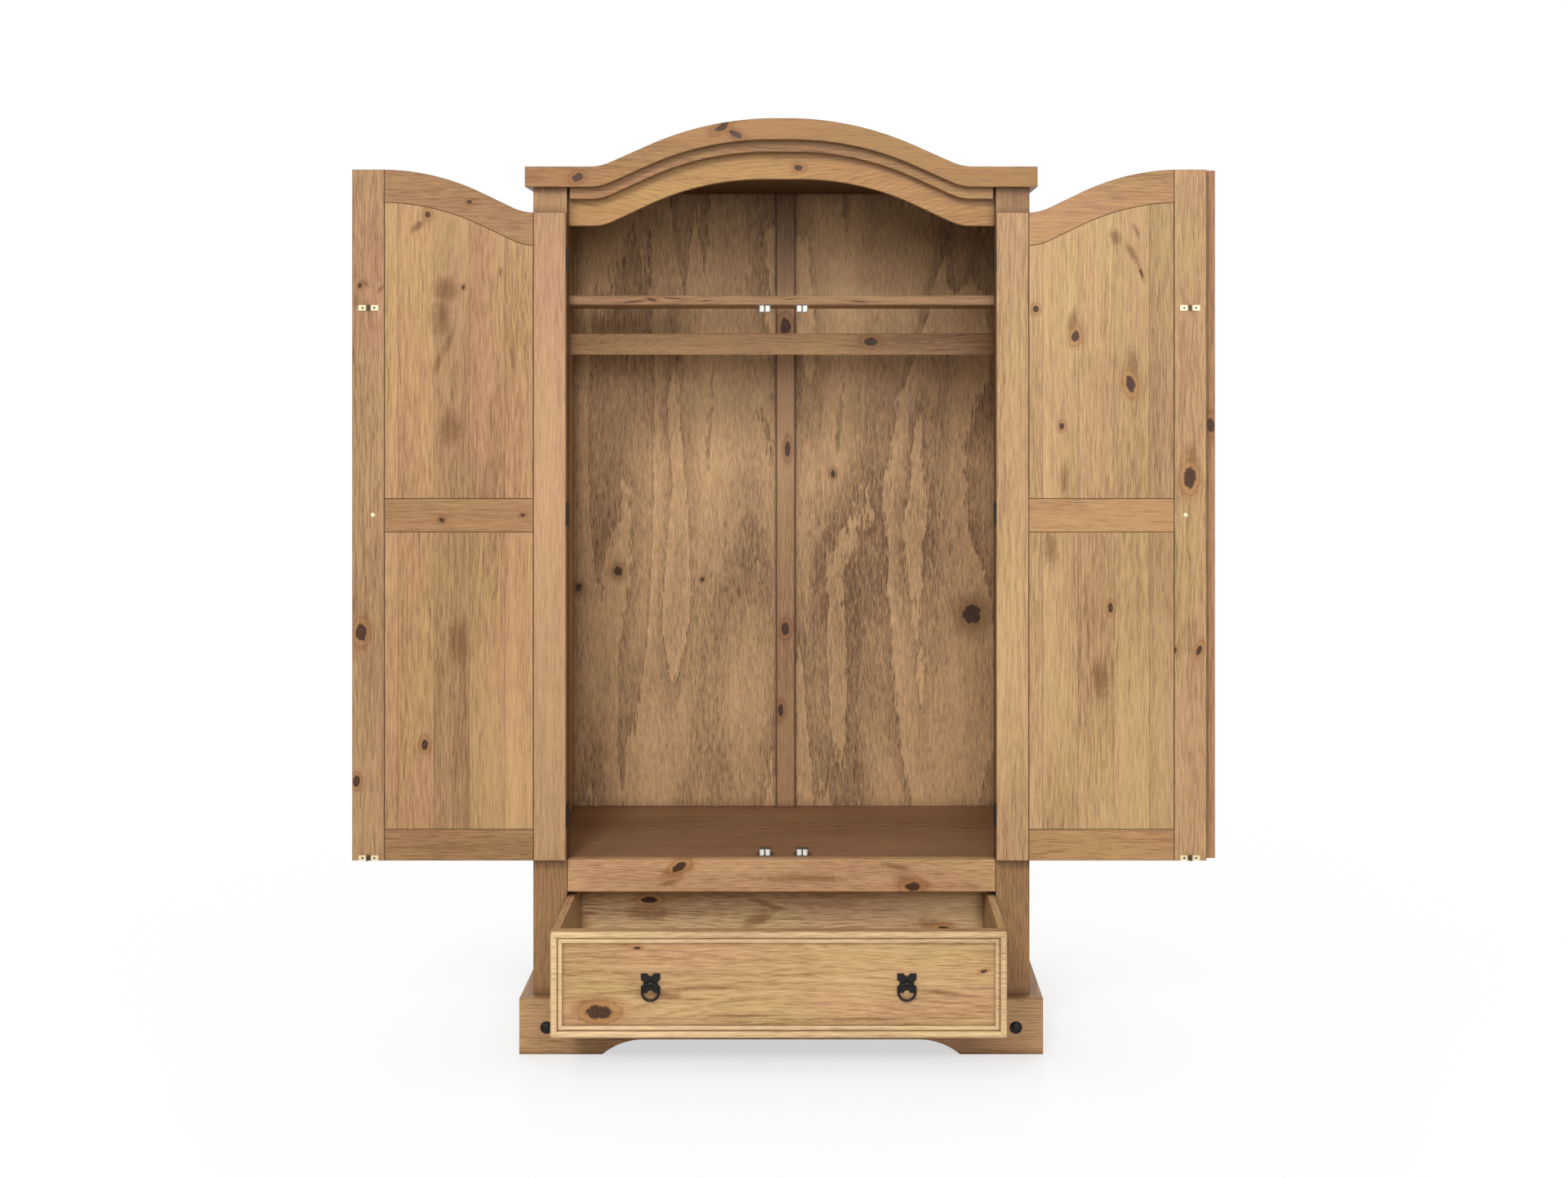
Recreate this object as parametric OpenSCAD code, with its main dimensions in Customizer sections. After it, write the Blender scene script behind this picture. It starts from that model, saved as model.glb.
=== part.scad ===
// Arch-top wardrobe in solid pine: two framed doors folded flat against the front, one wide
// drawer pulled out below, a hat shelf and a flat hanging rail inside.
// Millimetres, +Z up, -Y towards the user, origin on the floor under the middle of the carcass.

/* [Carcass] */
// Width over the front posts
body_w = 1010; // [840:1:1300]
// Depth from the front posts' faces to the back
body_d = 545; // [460:1:700]
// Height of the flat top board's upper face
top_z = 1798; // [1650:1:2200]
// Width of a front post
post_w = 69; // [50:1:90]
// Thickness of the side frames
side_t = 22; // [18:1:26]
// Thickness of a side panel
side_panel_t = 12; // [8:1:16]
// Width of a side frame's rear post
rear_post_w = 65; // [50:1:90]
// Height of a side frame's top rail
side_top_rail_h = 90; // [60:1:120]
// Upper edge of a side frame's bottom rail
side_bottom_rail_z = 170; // [140:1:200]
// Thickness of the top board
top_board_t = 12; // [9:1:22]
// Distance from the post faces to the back panels
inner_depth = 520; // [400:1:530]
// Thickness of the back panels
back_panel_t = 6; // [4:1:8]
// Width of the upright batten over the back joint
back_batten_w = 45; // [35:1:70]
// Thickness of the back batten
back_batten_t = 8; // [6:1:14]
// Height of a rear cross rail
rear_rail_h = 60; // [40:1:90]

/* [Arch] */
// Rise of the cornice from its flat ends to its crown
arch_rise = 98; // [60:1:130]
// Distance from a post's inner face to the foot of the arch
arch_foot_inset = 48; // [30:1:80]
// Half width of the flat crown
crown_flat = 12; // [0:1:60]
// Radius of the hollow curve at the foot of the arch
arch_foot_r = 100; // [60:1:140]
// Height of the cornice board
cornice_h = 41; // [30:1:60]
// How far the cornice stands out in front of the posts
cornice_front_t = 20; // [12:1:30]
// How far the cornice stands out at the sides
cornice_side_t = 14.5; // [10:0.5:30]
// Height of the moulding that shows under the cornice
moulding_h = 23; // [12:1:40]
// Gap between the moulding's ends and the posts
moulding_end_gap = 5; // [2:1:10]
// Height of the frieze board that shows under the moulding
frieze_h = 53.5; // [40:0.5:70]
// Thickness of the frieze board
frieze_t = 20; // [15:1:25]
// How far the moulding and frieze stop below the cornice's upper edge
cap_lip = 10; // [5:1:20]

/* [Doors] */
// Thickness of a door
door_t = 22; // [18:1:26]
// Width of the left door
left_door_w = 431.5; // [345:0.5:580]
// Gap between the doors' lock edges when shut
meeting_gap = 10.5; // [3:0.5:14]
// Gap between a door's hinge edge and its post
hinge_gap = 3; // [3:0.1:4]
// Gap between the cabinet floor and the doors' lower edges
door_bottom_gap = 4; // [3:0.5:7]
// Gap between the doors' arch and the moulding, at the crown
door_top_gap = 39; // [30:1:45]
// Rise of the doors' arch
door_arch_rise = 87; // [60:1:95]
// Distance from a post's inner face to the foot of the doors' arch
door_foot_inset = 66; // [40:1:90]
// Half width of the doors' flat crown
door_crown_flat = 60; // [0:1:80]
// Width of the stiles
stile_w = 65; // [50:1:90]
// Height of a door's top rail
top_rail_h = 66; // [50:1:90]
// Lower edge of the middle rail
middle_rail_z = 1058; // [900:1:1150]
// Height of the middle rail
middle_rail_h = 67; // [50:1:90]
// Height of the bottom rail
bottom_rail_h = 63; // [50:1:90]
// Thickness of the door panels
door_panel_t = 14; // [10:1:16]
// Width of the rebate that holds the panels
rebate_w = 10; // [6:1:14]
// Gap around the panels' inner faces
panel_gap = 0.8; // [0.2:0.1:1.5]
// Gap between a shut door and the frieze behind it
stop_gap = 0.5; // [0.3:0.1:2]
// Width of the astragal strip
astragal_w = 43; // [36:1:60]
// Thickness of the astragal strip
astragal_t = 12; // [8:1:16]

/* [Hinges] */
// Height of a hinge
hinge_h = 44; // [36:1:70]
// Width of a hinge leaf
leaf_w = 20; // [14:1:21]
// Thickness of a hinge leaf
leaf_t = 1.3; // [1:0.1:1.4]
// Distance of the hinge pin in front of the post faces
pin_out = 3.3; // [3.3:0.1:5]
// Outer radius of a knuckle
knuckle_r = 3; // [2.4:0.1:3]
// Radius of the hinge pin
pin_r = 1.15; // [0.9:0.05:1.4]
// Running clearance around the pin
pin_clearance = 0.05; // [0.02:0.01:0.1]
// Heights of the three hinges' centres
hinge_z = [481, 1093, 1612]; // [440:1:1700]

/* [Catches] */
// Radius of a catch roller
roller_r = 5; // [4:0.5:6]
// Height of a catch roller
roller_h = 12; // [8:1:14]
// Gap between a pair of rollers
roller_gap = 2; // [1.6:0.1:3]
// Width of a catch housing
catch_w = 34; // [32:1:44]
// Depth of a catch housing
catch_d = 34; // [28:1:40]
// Sheet thickness of a catch housing
catch_sheet_t = 1.4; // [1:0.1:2]
// Distance from a door's lock edge to its strikes
strike_inset = 33; // [30:1:40]
// Width of a strike plate
strike_w = 40; // [30:1:44]
// Height of a strike plate
strike_h = 11; // [9:1:12]
// Thickness of a strike plate
strike_t = 1.2; // [1:0.1:2]
// Thickness of a strike's spear
spear_t = 1.4; // [1:0.1:1.5]
// Length of a strike's spear
spear_l = 14; // [10:1:15]

/* [Drawer] */
// Height of the opening under the front rail
drawer_opening_h = 210; // [160:1:230]
// Gap beside the drawer, on each side
drawer_side_gap = 1.5; // [1:0.1:3]
// Gap under the drawer front
drawer_bottom_gap = 2; // [1:0.5:4]
// Gap over the drawer front
drawer_top_gap = 6; // [3:0.5:10]
// Thickness of the drawer front without its moulding
drawer_front_t = 20; // [15:1:24]
// Depth of the drawer
drawer_d = 410; // [340:1:420]
// Thickness of the drawer's sides and back
drawer_side_t = 15; // [12:1:20]
// Thickness of the drawer's bottom
drawer_bottom_t = 6; // [4:1:8]
// Depth of the groove that holds the drawer's bottom
drawer_groove = 6; // [4:1:8]
// How far the drawer is pulled out
drawer_out = 284; // [0:1:320]
// Width of the moulding's outer bead
outer_bead_w = 12.5; // [10:0.5:16]
// Width of the moulding's inner bead
inner_bead_w = 9; // [6:0.5:12]
// Width of the groove between the beads
bead_groove_w = 1; // [0.5:0.5:3]
// Thickness of the drawer moulding
drawer_moulding_t = 8; // [6:1:10]

/* [Handles] */
// Width and height of a handle plate
plate_w = 36.5; // [30:0.5:37]
// Thickness of a handle plate
plate_t = 2; // [1.5:0.5:3]
// Radius of the notches in a handle plate's sides
notch_r = 6; // [3:0.5:7]
// Radius of a ring, to the middle of its wire
ring_r = 16; // [14:0.5:18]
// Radius of the ring's wire
wire_r = 2.3; // [1.8:0.1:2.4]
// Distance of the ring's eye in front of the wood
eye_out = 5.2; // [5:0.1:6]
// Outer radius of the eye
eye_r = 5; // [4.8:0.1:5.2]
// Hole radius of the eye
eye_hole_r = 3; // [2.9:0.1:3.2]
// Width of the eye
eye_w = 6; // [4:0.5:7]
// Distance between the drawer's two handles
drawer_handle_gap = 488; // [380:1:620]
// Height of the door handles
door_handle_z = 1092; // [900:1:1150]
// Distance from a door's lock edge to its handle
door_handle_inset = 41.5; // [40:0.5:46]
// Radius of a handle screw's shank
screw_r = 1.9; // [1.5:0.1:2.4]
// Radius of a handle screw's head
screw_head_r = 4.8; // [4:0.1:6]
// Thickness of a handle screw's head
screw_head_t = 2; // [1.5:0.1:3]

/* [Plinth] */
// Height of the plinth
plinth_h = 113; // [90:1:140]
// Thickness of the plinth boards
plinth_t = 25; // [18:1:30]
// Length of a bracket foot along the front
foot_l = 168; // [120:1:200]
// Length of a bracket foot along the side
side_foot_l = 120; // [90:1:150]
// Height of the cut-out between the feet
foot_cut_h = 30; // [20:1:60]
// Radius at the ends of the cut-out
foot_cut_r = 130; // [80:1:160]
// Radius of a plinth stud
stud_r = 12.7; // [8:0.1:16]
// Height of a stud's dome
stud_h = 7; // [4:1:8]
// Distance from the plinth's end to its stud
stud_inset = 55; // [40:1:70]
// Height of the studs' centres
stud_z = 54; // [45:1:70]

/* [Inside] */
// Height of the front rail between drawer and doors
front_rail_h = 66; // [50:1:80]
// Thickness of the front rail
front_rail_t = 22; // [18:1:26]
// Thickness of the cabinet floor and the shelf
shelf_t = 19; // [15:1:22]
// Lower face of the shelf
shelf_z = 1519; // [1400:1:1560]
// Depth of the shelf
shelf_d = 300; // [240:1:460]
// Gap between a shut door and the shelf's front edge
shelf_gap = 2; // [1:0.5:5]
// Thickness of the cleats
cleat_t = 22; // [15:1:30]
// Distance from the shelf down to the hanging rail's lower edge
hanging_rail_drop = 101; // [80:1:220]
// Height of the hanging rail
hanging_rail_h = 46; // [30:1:50]
// Thickness of the hanging rail
hanging_rail_t = 22; // [16:1:28]
// Distance from the post faces to the hanging rail's middle
hanging_rail_y = 280; // [200:1:320]
// Depth of the pockets that hold the hanging rail
pocket_d = 10; // [6:1:14]
// Wood around the pockets that hold the hanging rail
pocket_wall = 14; // [10:1:20]
// Width of the runner under a drawer side
runner_w = 26; // [20:1:34]
// Height of a runner
runner_h = 30; // [20:1:40]
// Height of the guide beside a drawer side
guide_h = 45; // [30:1:80]

/* [Hidden] */
$fn = 64;
eps = 0.01;
half_w = body_w / 2;
front_y = -body_d / 2;
back_y = body_d / 2;
opening_x = half_w - post_w;                          // half the clear width between the posts
inner_x = half_w - side_t;                            // a side frame's inner face
post_d = door_t + stop_gap + frieze_t;
frieze_y = front_y + door_t + stop_gap;
rear_post_y = back_y - rear_post_w;
back_panel_y = front_y + inner_depth;
top_board_z = top_z - top_board_t;
rail_z = plinth_h + drawer_opening_h;                 // lower edge of the front rail
floor_z = rail_z + front_rail_h;                      // upper face of the cabinet floor
door_bottom_z = floor_z + door_bottom_gap;
cleat_y = front_y + post_d;                           // the front posts' back faces
hanging_rail_z = shelf_z - hanging_rail_drop;
side_rail_tuck = 40;                                  // how far the bottom side rails run behind the plinth
back_joint_gap = 0.5;                                 // from the middle to each back panel

// arch lines: flat crown, foot distance, rise, height at the foot
arch_foot_x = opening_x - arch_foot_inset;
arch_step = 12;                                       // spacing of the points along an arch line
crown_steps = [12, 18, 26];                           // how much wider each lower line's flat crown is
low_rise = arch_rise - 2;                             // rise of the lines under the cornice
moulding_foot_z = top_z - cornice_h - moulding_h;
cornice_top = [crown_flat, arch_foot_x, arch_rise, top_z];
cornice_low = [crown_flat + crown_steps[0], arch_foot_x, low_rise, top_z - cornice_h];
moulding_low = [crown_flat + crown_steps[1], arch_foot_x, low_rise, moulding_foot_z];
frieze_low = [crown_flat + crown_steps[2], arch_foot_x, low_rise, moulding_foot_z - frieze_h];
cap_top = [crown_flat, arch_foot_x, arch_rise, top_z - cap_lip];
door_crown_z = moulding_foot_z + low_rise - door_top_gap;
door_top = [door_crown_flat, opening_x - door_foot_inset, door_arch_rise,
            door_crown_z - door_arch_rise];
door_rail_low = [door_crown_flat, opening_x - door_foot_inset, door_arch_rise,
                 door_top[3] - top_rail_h];

// doors, drawn shut; the hinge pins stand in the gap beside the posts
axis_x = opening_x - hinge_gap / 2;
axis_y = front_y - pin_out;
left_hinge_x = -opening_x + hinge_gap;
left_lock_x = left_hinge_x + left_door_w;
right_hinge_x = opening_x - hinge_gap;
right_lock_x = left_lock_x + meeting_gap;
strike_y = front_y + door_t;
roller_play = 0.3;                                    // above and below a roller in its housing
strike_to_roller = 2;                                 // from a shut door's strike to the rollers
spear_h = 8;                                          // height of a strike's spear
roller_z_low = floor_z + catch_sheet_t + roller_play;
roller_z_high = shelf_z - catch_sheet_t - roller_play - roller_h;
roller_y = strike_y + strike_t + roller_r + strike_to_roller;
strike_z = [door_bottom_z, roller_z_high + (roller_h - strike_h) / 2];
catch_x = [left_lock_x - strike_inset, right_lock_x + strike_inset];
catch_lip = 3;                                        // housing in front of the rollers' axes
catch_shoulder = 5;                                   // how much narrower the upper plate is, each side
catch_web_gap = 6;                                    // from the rollers to the web behind them

// hinges: two outer knuckles on the post's leaf, the middle one on the door's
knuckle_h = hinge_h / 3;
knuckle_play = 0.2;                                   // above and below the middle knuckle
outer_spans = [[-hinge_h / 2, -knuckle_h / 2], [knuckle_h / 2, hinge_h / 2]];
middle_span = [[-knuckle_h / 2 + knuckle_play, knuckle_h / 2 - knuckle_play]];
pin_head_t = 1.5;
pin_head_gap = 0.3;                                   // between a knuckle and the pin's head
pin_head_r = knuckle_r - 0.6;

// clearances round the handle screws
bore_play = 0.1;
plate_bore_play = 0.05;

// drawer, drawn shut
drawer_x = opening_x - drawer_side_gap;
drawer_z0 = plinth_h + drawer_bottom_gap;
drawer_z1 = rail_z - drawer_top_gap;
drawer_face_y = front_y + drawer_moulding_t;
drawer_box_y = drawer_face_y + drawer_front_t;
drawer_back_y = front_y + drawer_d;
drawer_middle_z = (drawer_z0 + drawer_z1) / 2;
side_step = 2;                                        // the sides' edges below and above the front's
drawer_side_z0 = drawer_z0 + side_step;
drawer_floor_z = drawer_side_z0 + 8;                  // the sides reach 8 below the bottom
drawer_handle_z = drawer_middle_z + 2;
drawer_moulding_w = outer_bead_w + bead_groove_w + inner_bead_w;
outer_crown = 3;                                      // how far the outer bead is rounded
inner_crown = 2.5;                                    // how far the inner bead is rounded
inner_drop = 2;                                       // the inner bead's crown below the outer one's
groove_d = 5;                                         // depth of the groove between the beads
mitre_gap = 0.1;                                      // at each end of a mitred length
back_inset = 4;                                       // from the sides' ends to the drawer's back
back_drop = 12;                                       // the back's upper edge below the front's
runner_play = 0.3;                                    // between a drawer side and its runner
runner_z = drawer_side_z0 - runner_play;              // upper face of the runners

pine = "BurlyWood";
pale_pine = "Wheat";
dark_pine = "Peru";
iron = [0.12, 0.12, 0.12];
brass = "DarkKhaki";

// ---- helpers ----

// box from its two opposite corners
module box(low, high) {
    translate(low) cube([high[0] - low[0], high[1] - low[1], high[2] - low[2]]);
}

// copies its children to the left, as a mirror image
module both_sides() {
    children();
    mirror([1, 0, 0]) children();
}

// height above its foot of an ogee line at x: a flat crown, a round shoulder, a short straight
// and a hollow foot; line = [half crown, foot distance, rise, foot height]
function ogee_r(line) =
    0.95 * ((line[1] - line[0]) ^ 2 + line[2] ^ 2) / (2 * line[2]);
function ogee_slope(line) =
    let (run = line[1] - line[0], r = ogee_r(line), drop = line[2] - r)
    atan2(drop, run) + asin(r / sqrt(run ^ 2 + drop ^ 2));
function ogee_height(line, x) =
    let (slope = ogee_slope(line), shoulder_r = ogee_r(line) - arch_foot_r,
         shoulder_x = line[0] + shoulder_r * sin(slope),
         hollow_x = line[1] - arch_foot_r * sin(slope))
    x <= line[0] ? line[2]
    : x <= shoulder_x ? line[2] - shoulder_r + sqrt(shoulder_r ^ 2 - (x - line[0]) ^ 2)
    : x < hollow_x ? line[2] - shoulder_r * (1 - cos(slope)) - (x - shoulder_x) * tan(slope)
    : x < line[1] ? arch_foot_r - sqrt(arch_foot_r ^ 2 - (line[1] - x) ^ 2)
    : 0;
function ogee_z(line, x) = line[3] + ogee_height(line, abs(x));

// points along an ogee line from x0 to x1, left out where the line runs flat
function ogee_bends(line, x) = abs(x) > line[0] - arch_step && abs(x) < line[1] + arch_step;
function ogee_points(line, x0, x1) =
    let (n = ceil(abs(x1 - x0) / arch_step))
    [for (i = [0 : n]) let (x = x0 + (x1 - x0) * i / n)
        if (i == 0 || i == n || ogee_bends(line, x)) [x, ogee_z(line, x)]];

// board in the XZ plane between two outlines, from y to y + t
module board_xz(points, y, t) {
    translate([0, y + t, 0]) rotate([90, 0, 0]) linear_extrude(t) polygon(points);
}

// board whose upper and lower edges follow two ogee lines
module arched_board(upper, lower, x0, x1, y, t) {
    board_xz(concat(ogee_points(upper, x0, x1), ogee_points(lower, x1, x0)), y, t);
}

// board under an ogee line with a straight lower edge
module arch_topped_board(upper, z0, x0, x1, y, t) {
    board_xz(concat(ogee_points(upper, x0, x1), [[x1, z0], [x0, z0]]), y, t);
}

// swings a shut door half a turn about its hinge pins
module open_left() {
    translate([-axis_x, axis_y, 0]) rotate([0, 0, 180]) translate([axis_x, -axis_y, 0]) children();
}
module open_right() {
    translate([axis_x, axis_y, 0]) rotate([0, 0, 180]) translate([-axis_x, -axis_y, 0]) children();
}

// pulls the shut drawer out
module pulled() {
    translate([0, -drawer_out, 0]) children();
}

// ---- carcass ----

module front_posts() color(pine)
    both_sides() box([opening_x, front_y, 0], [half_w, front_y + post_d, top_z]);

module rear_posts() color(pine)
    both_sides() box([inner_x, rear_post_y, 0], [half_w, back_y, top_board_z]);

module side_rails() color(pine)
    both_sides() {
        box([inner_x, cleat_y, plinth_h - side_rail_tuck], [half_w, rear_post_y, side_bottom_rail_z]);
        box([inner_x, cleat_y, top_board_z - side_top_rail_h], [half_w, rear_post_y, top_board_z]);
    }

module side_panels() color(pine)
    both_sides() box([inner_x, cleat_y, side_bottom_rail_z],
                     [inner_x + side_panel_t, rear_post_y, top_board_z - side_top_rail_h]);

module front_rail() color(pine)
    box([-opening_x, front_y, rail_z], [opening_x, front_y + front_rail_t, floor_z]);

module frieze_board() color(pine)
    arched_board(cap_top, frieze_low, -opening_x, opening_x, frieze_y, frieze_t);

module frieze_moulding() color(pine)
    arched_board(cap_top, moulding_low, -opening_x + moulding_end_gap,
                 opening_x - moulding_end_gap, front_y, frieze_y - front_y);

module cornice_front() color(pine)
    arched_board(cornice_top, cornice_low, -half_w - cornice_side_t, half_w + cornice_side_t,
                 front_y - cornice_front_t, cornice_front_t);

module cornice_returns() color(pine)
    both_sides() box([half_w, front_y, top_z - cornice_h], [half_w + cornice_side_t, back_y, top_z]);

module top_board() color(dark_pine)
    box([-half_w, front_y + post_d, top_board_z], [half_w, back_y, top_z]);

// a board that fills the inside width and is notched round the front posts
module notched_board(y0, y1, z0) {
    box([-opening_x, y0, z0], [opening_x, cleat_y + eps, z0 + shelf_t]);
    box([-inner_x, cleat_y, z0], [inner_x, y1, z0 + shelf_t]);
}

module cabinet_floor() color(dark_pine)
    notched_board(front_y + front_rail_t, back_panel_y, floor_z - shelf_t);

module shelf() color(dark_pine)
    notched_board(strike_y + shelf_gap, strike_y + shelf_gap + shelf_d, shelf_z);

// strips under the shelf, and under the cabinet floor where they also hold the drawer down
module cleats() color(pine)
    both_sides() {
        box([inner_x - cleat_t, cleat_y, shelf_z - cleat_t],
            [inner_x, strike_y + shelf_gap + shelf_d, shelf_z]);
        box([drawer_x - runner_w, cleat_y, rail_z], [inner_x, rear_post_y, floor_z - shelf_t]);
    }

module hanging_rail() color(pale_pine)
    box([-inner_x + cleat_t - pocket_d, front_y + hanging_rail_y - hanging_rail_t / 2, hanging_rail_z],
        [inner_x - cleat_t + pocket_d, front_y + hanging_rail_y + hanging_rail_t / 2,
         hanging_rail_z + hanging_rail_h]);

module hanging_rail_blocks() color(pine)
    difference() {
        both_sides()
            box([inner_x - cleat_t,
                 front_y + hanging_rail_y - hanging_rail_t / 2 - pocket_wall,
                 hanging_rail_z - pocket_wall],
                [inner_x, front_y + hanging_rail_y + hanging_rail_t / 2 + pocket_wall,
                 hanging_rail_z + hanging_rail_h]);
        hanging_rail();
    }

module back_panels() color(dark_pine)
    both_sides() box([back_joint_gap, back_panel_y, side_bottom_rail_z - rear_rail_h],
                     [inner_x, back_panel_y + back_panel_t, top_board_z]);

module back_batten() color(dark_pine)
    box([-back_batten_w / 2, back_panel_y - back_batten_t, floor_z],
        [back_batten_w / 2, back_panel_y, top_board_z]);

module rear_rails() color(pine) {
    for (z = [side_bottom_rail_z - rear_rail_h, floor_z - rear_rail_h, top_board_z - rear_rail_h])
        box([-inner_x, back_panel_y + back_panel_t, z], [inner_x, back_y, z + rear_rail_h]);
}

// ---- plinth ----

// curve from a foot's toe on the floor at x up to the cut-out's flat top, towards dir
function foot_curve(x, dir) =
    let (turn = acos(1 - foot_cut_h / foot_cut_r), steps = 10)
    [for (i = [0 : steps]) let (a = turn * (1 - i / steps))
        [x + dir * foot_cut_r * (sin(turn) - sin(a)),
         foot_cut_h - foot_cut_r * (1 - cos(a))]];
function reversed(points) = [for (i = [len(points) - 1 : -1 : 0]) points[i]];

// outline of a bracket-footed board from x0 to x1, with feet of length foot at both ends
function plinth_outline(x0, x1, foot) =
    concat([[x0, 0]], foot_curve(x0 + foot, 1), reversed(foot_curve(x1 - foot, -1)),
           [[x1, 0], [x1, plinth_h], [x0, plinth_h]]);

module plinth_front() color(pine)
    board_xz(plinth_outline(-half_w - plinth_t, half_w + plinth_t, foot_l),
             front_y - plinth_t, plinth_t);

module plinth_sides() color(pine)
    both_sides() translate([half_w, 0, 0]) rotate([90, 0, 90])
        linear_extrude(plinth_t) polygon(plinth_outline(front_y, back_y, side_foot_l));

// domed iron studs on the plinth's corners
module plinth_studs() color(iron)
    both_sides() translate([half_w + plinth_t - stud_inset, front_y - plinth_t, stud_z])
        dome(stud_r, stud_h);

// spherical cap of a given base radius and height that stands out along -Y
module dome(r, h) {
    ball_r = (r ^ 2 + h ^ 2) / (2 * h);
    intersection() {
        translate([0, ball_r - h, 0]) sphere(ball_r);
        box([-ball_r, -h - 1, -ball_r], [ball_r, 0, ball_r]);
    }
}

module drawer_runners() color(pine)
    both_sides() {
        box([drawer_x - runner_w, cleat_y, runner_z - runner_h], [inner_x, rear_post_y, runner_z]);
        box([opening_x, cleat_y, runner_z - eps], [inner_x, rear_post_y, runner_z + guide_h]);
    }

// ---- hinges ----

// one leaf in the gap beside the pin, on the side dir, with knuckles at the given spans
module leaf(dir, spans, z) {
    difference() {
        union() {
            box([min(dir * (hinge_gap / 2 - leaf_t), dir * hinge_gap / 2), pin_out, z - hinge_h / 2],
                [max(dir * (hinge_gap / 2 - leaf_t), dir * hinge_gap / 2), pin_out + leaf_w,
                 z + hinge_h / 2]);
            for (s = spans) {
                translate([0, 0, z + s[0]]) cylinder(r = knuckle_r, h = s[1] - s[0]);
                box([min(dir * (hinge_gap / 2 - leaf_t), dir * hinge_gap / 2), 0, z + s[0]],
                    [max(dir * (hinge_gap / 2 - leaf_t), dir * hinge_gap / 2), pin_out + eps,
                     z + s[1]]);
            }
        }
        translate([0, 0, z - hinge_h]) cylinder(r = pin_r + pin_clearance, h = 2 * hinge_h);
    }
}

module carcass_hinge_leaves() color(iron)
    both_sides() translate([axis_x, axis_y, 0]) for (z = hinge_z) leaf(1, outer_spans, z);

module hinge_pins() color(iron)
    both_sides() translate([axis_x, axis_y, 0]) for (z = hinge_z) translate([0, 0, z]) {
        cylinder(r = pin_r, h = hinge_h + pin_head_t, center = true);
        for (s = [-1, 1]) translate([0, 0, s * (hinge_h / 2 + pin_head_gap + pin_head_t / 2)])
            cylinder(r = pin_head_r, h = pin_head_t, center = true);
    }

module left_hinge_leaves() color(iron)
    open_left() translate([-axis_x, axis_y, 0]) for (z = hinge_z) leaf(1, middle_span, z);

module right_hinge_leaves() color(iron)
    open_right() translate([axis_x, axis_y, 0]) for (z = hinge_z) leaf(-1, middle_span, z);

// ---- double roller catches: a pair of sprung rollers that grip the strike's spear ----

// one catch seen from its base plate at z = 0, rollers above it
module catch_housing() {
    half = catch_w / 2;
    jaw_x = half - catch_shoulder;
    jaw_z = roller_h + catch_sheet_t + 2 * roller_play;
    lip_y = roller_y - catch_lip;
    web_y = roller_y + roller_r + catch_web_gap;
    box([-half, lip_y, 0], [half, lip_y + catch_d, catch_sheet_t]);
    box([-jaw_x, lip_y, jaw_z], [jaw_x, web_y + catch_sheet_t, jaw_z + catch_sheet_t]);
    box([-jaw_x, web_y, catch_sheet_t - eps], [jaw_x, web_y + catch_sheet_t, jaw_z + eps]);
}

module catch_housings() color("DimGray")
    for (x = catch_x) {
        translate([x, 0, floor_z]) catch_housing();
        translate([x, 0, shelf_z]) mirror([0, 0, 1]) catch_housing();
    }

// side is -1 for the roller on the left of its catch and 1 for the one on the right
module roller(x, side, z) color("White")
    translate([x + side * (roller_gap / 2 + roller_r), roller_y, z])
        cylinder(r = roller_r, h = roller_h);

// ---- doors, drawn shut between x0 (hinge edge) and x1 (lock edge) ----

module door_stiles(x0, x1) color(pine) {
    dir = sign(x1 - x0);
    for (e = [[x0, dir], [x1, -dir]]) {
        inner = e[0] + e[1] * stile_w;
        lip = inner + e[1] * rebate_w;
        difference() {
            union() {
                arch_topped_board(door_top, door_bottom_z, min(e[0], inner), max(e[0], inner),
                                  front_y, door_t);
                arch_topped_board(door_rail_low, door_bottom_z + bottom_rail_h,
                                  min(inner, lip), max(inner, lip),
                                  front_y, door_t - door_panel_t);
            }
            middle_rail_lip_room(min(inner, lip), max(inner, lip));
            handle_bore(x1 - dir * door_handle_inset);
        }
    }
}

// room in a stile's lip for the middle rail's ends
module middle_rail_lip_room(xa, xb) {
    box([xa, front_y - 1, middle_rail_z],
        [xb + eps, front_y + door_t, middle_rail_z + middle_rail_h]);
}

module handle_bore(x) {
    translate([x, front_y - 1, door_handle_z]) rotate([-90, 0, 0])
        cylinder(r = screw_r + bore_play, h = door_t + 2);
}

module door_rails(x0, x1) color(pine) {
    dir = sign(x1 - x0);
    xa = min(x0 + dir * stile_w, x1 - dir * stile_w);
    xb = max(x0 + dir * stile_w, x1 - dir * stile_w);
    lip_y = door_t - door_panel_t;
    lip_low = [door_rail_low[0], door_rail_low[1], door_rail_low[2], door_rail_low[3] - rebate_w];
    arched_board(door_top, door_rail_low, xa, xb, front_y, door_t);
    arched_board(door_rail_low, lip_low, xa + rebate_w, xb - rebate_w, front_y, lip_y);
    box([xa, front_y, middle_rail_z], [xb, front_y + door_t, middle_rail_z + middle_rail_h]);
    box([xa + rebate_w, front_y, middle_rail_z - rebate_w],
        [xb - rebate_w, front_y + lip_y, middle_rail_z + middle_rail_h + rebate_w]);
    box([xa, front_y, door_bottom_z], [xb, front_y + door_t, door_bottom_z + bottom_rail_h]);
    box([xa + rebate_w, front_y, door_bottom_z + bottom_rail_h - eps],
        [xb - rebate_w, front_y + lip_y, door_bottom_z + bottom_rail_h + rebate_w]);
}

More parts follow.
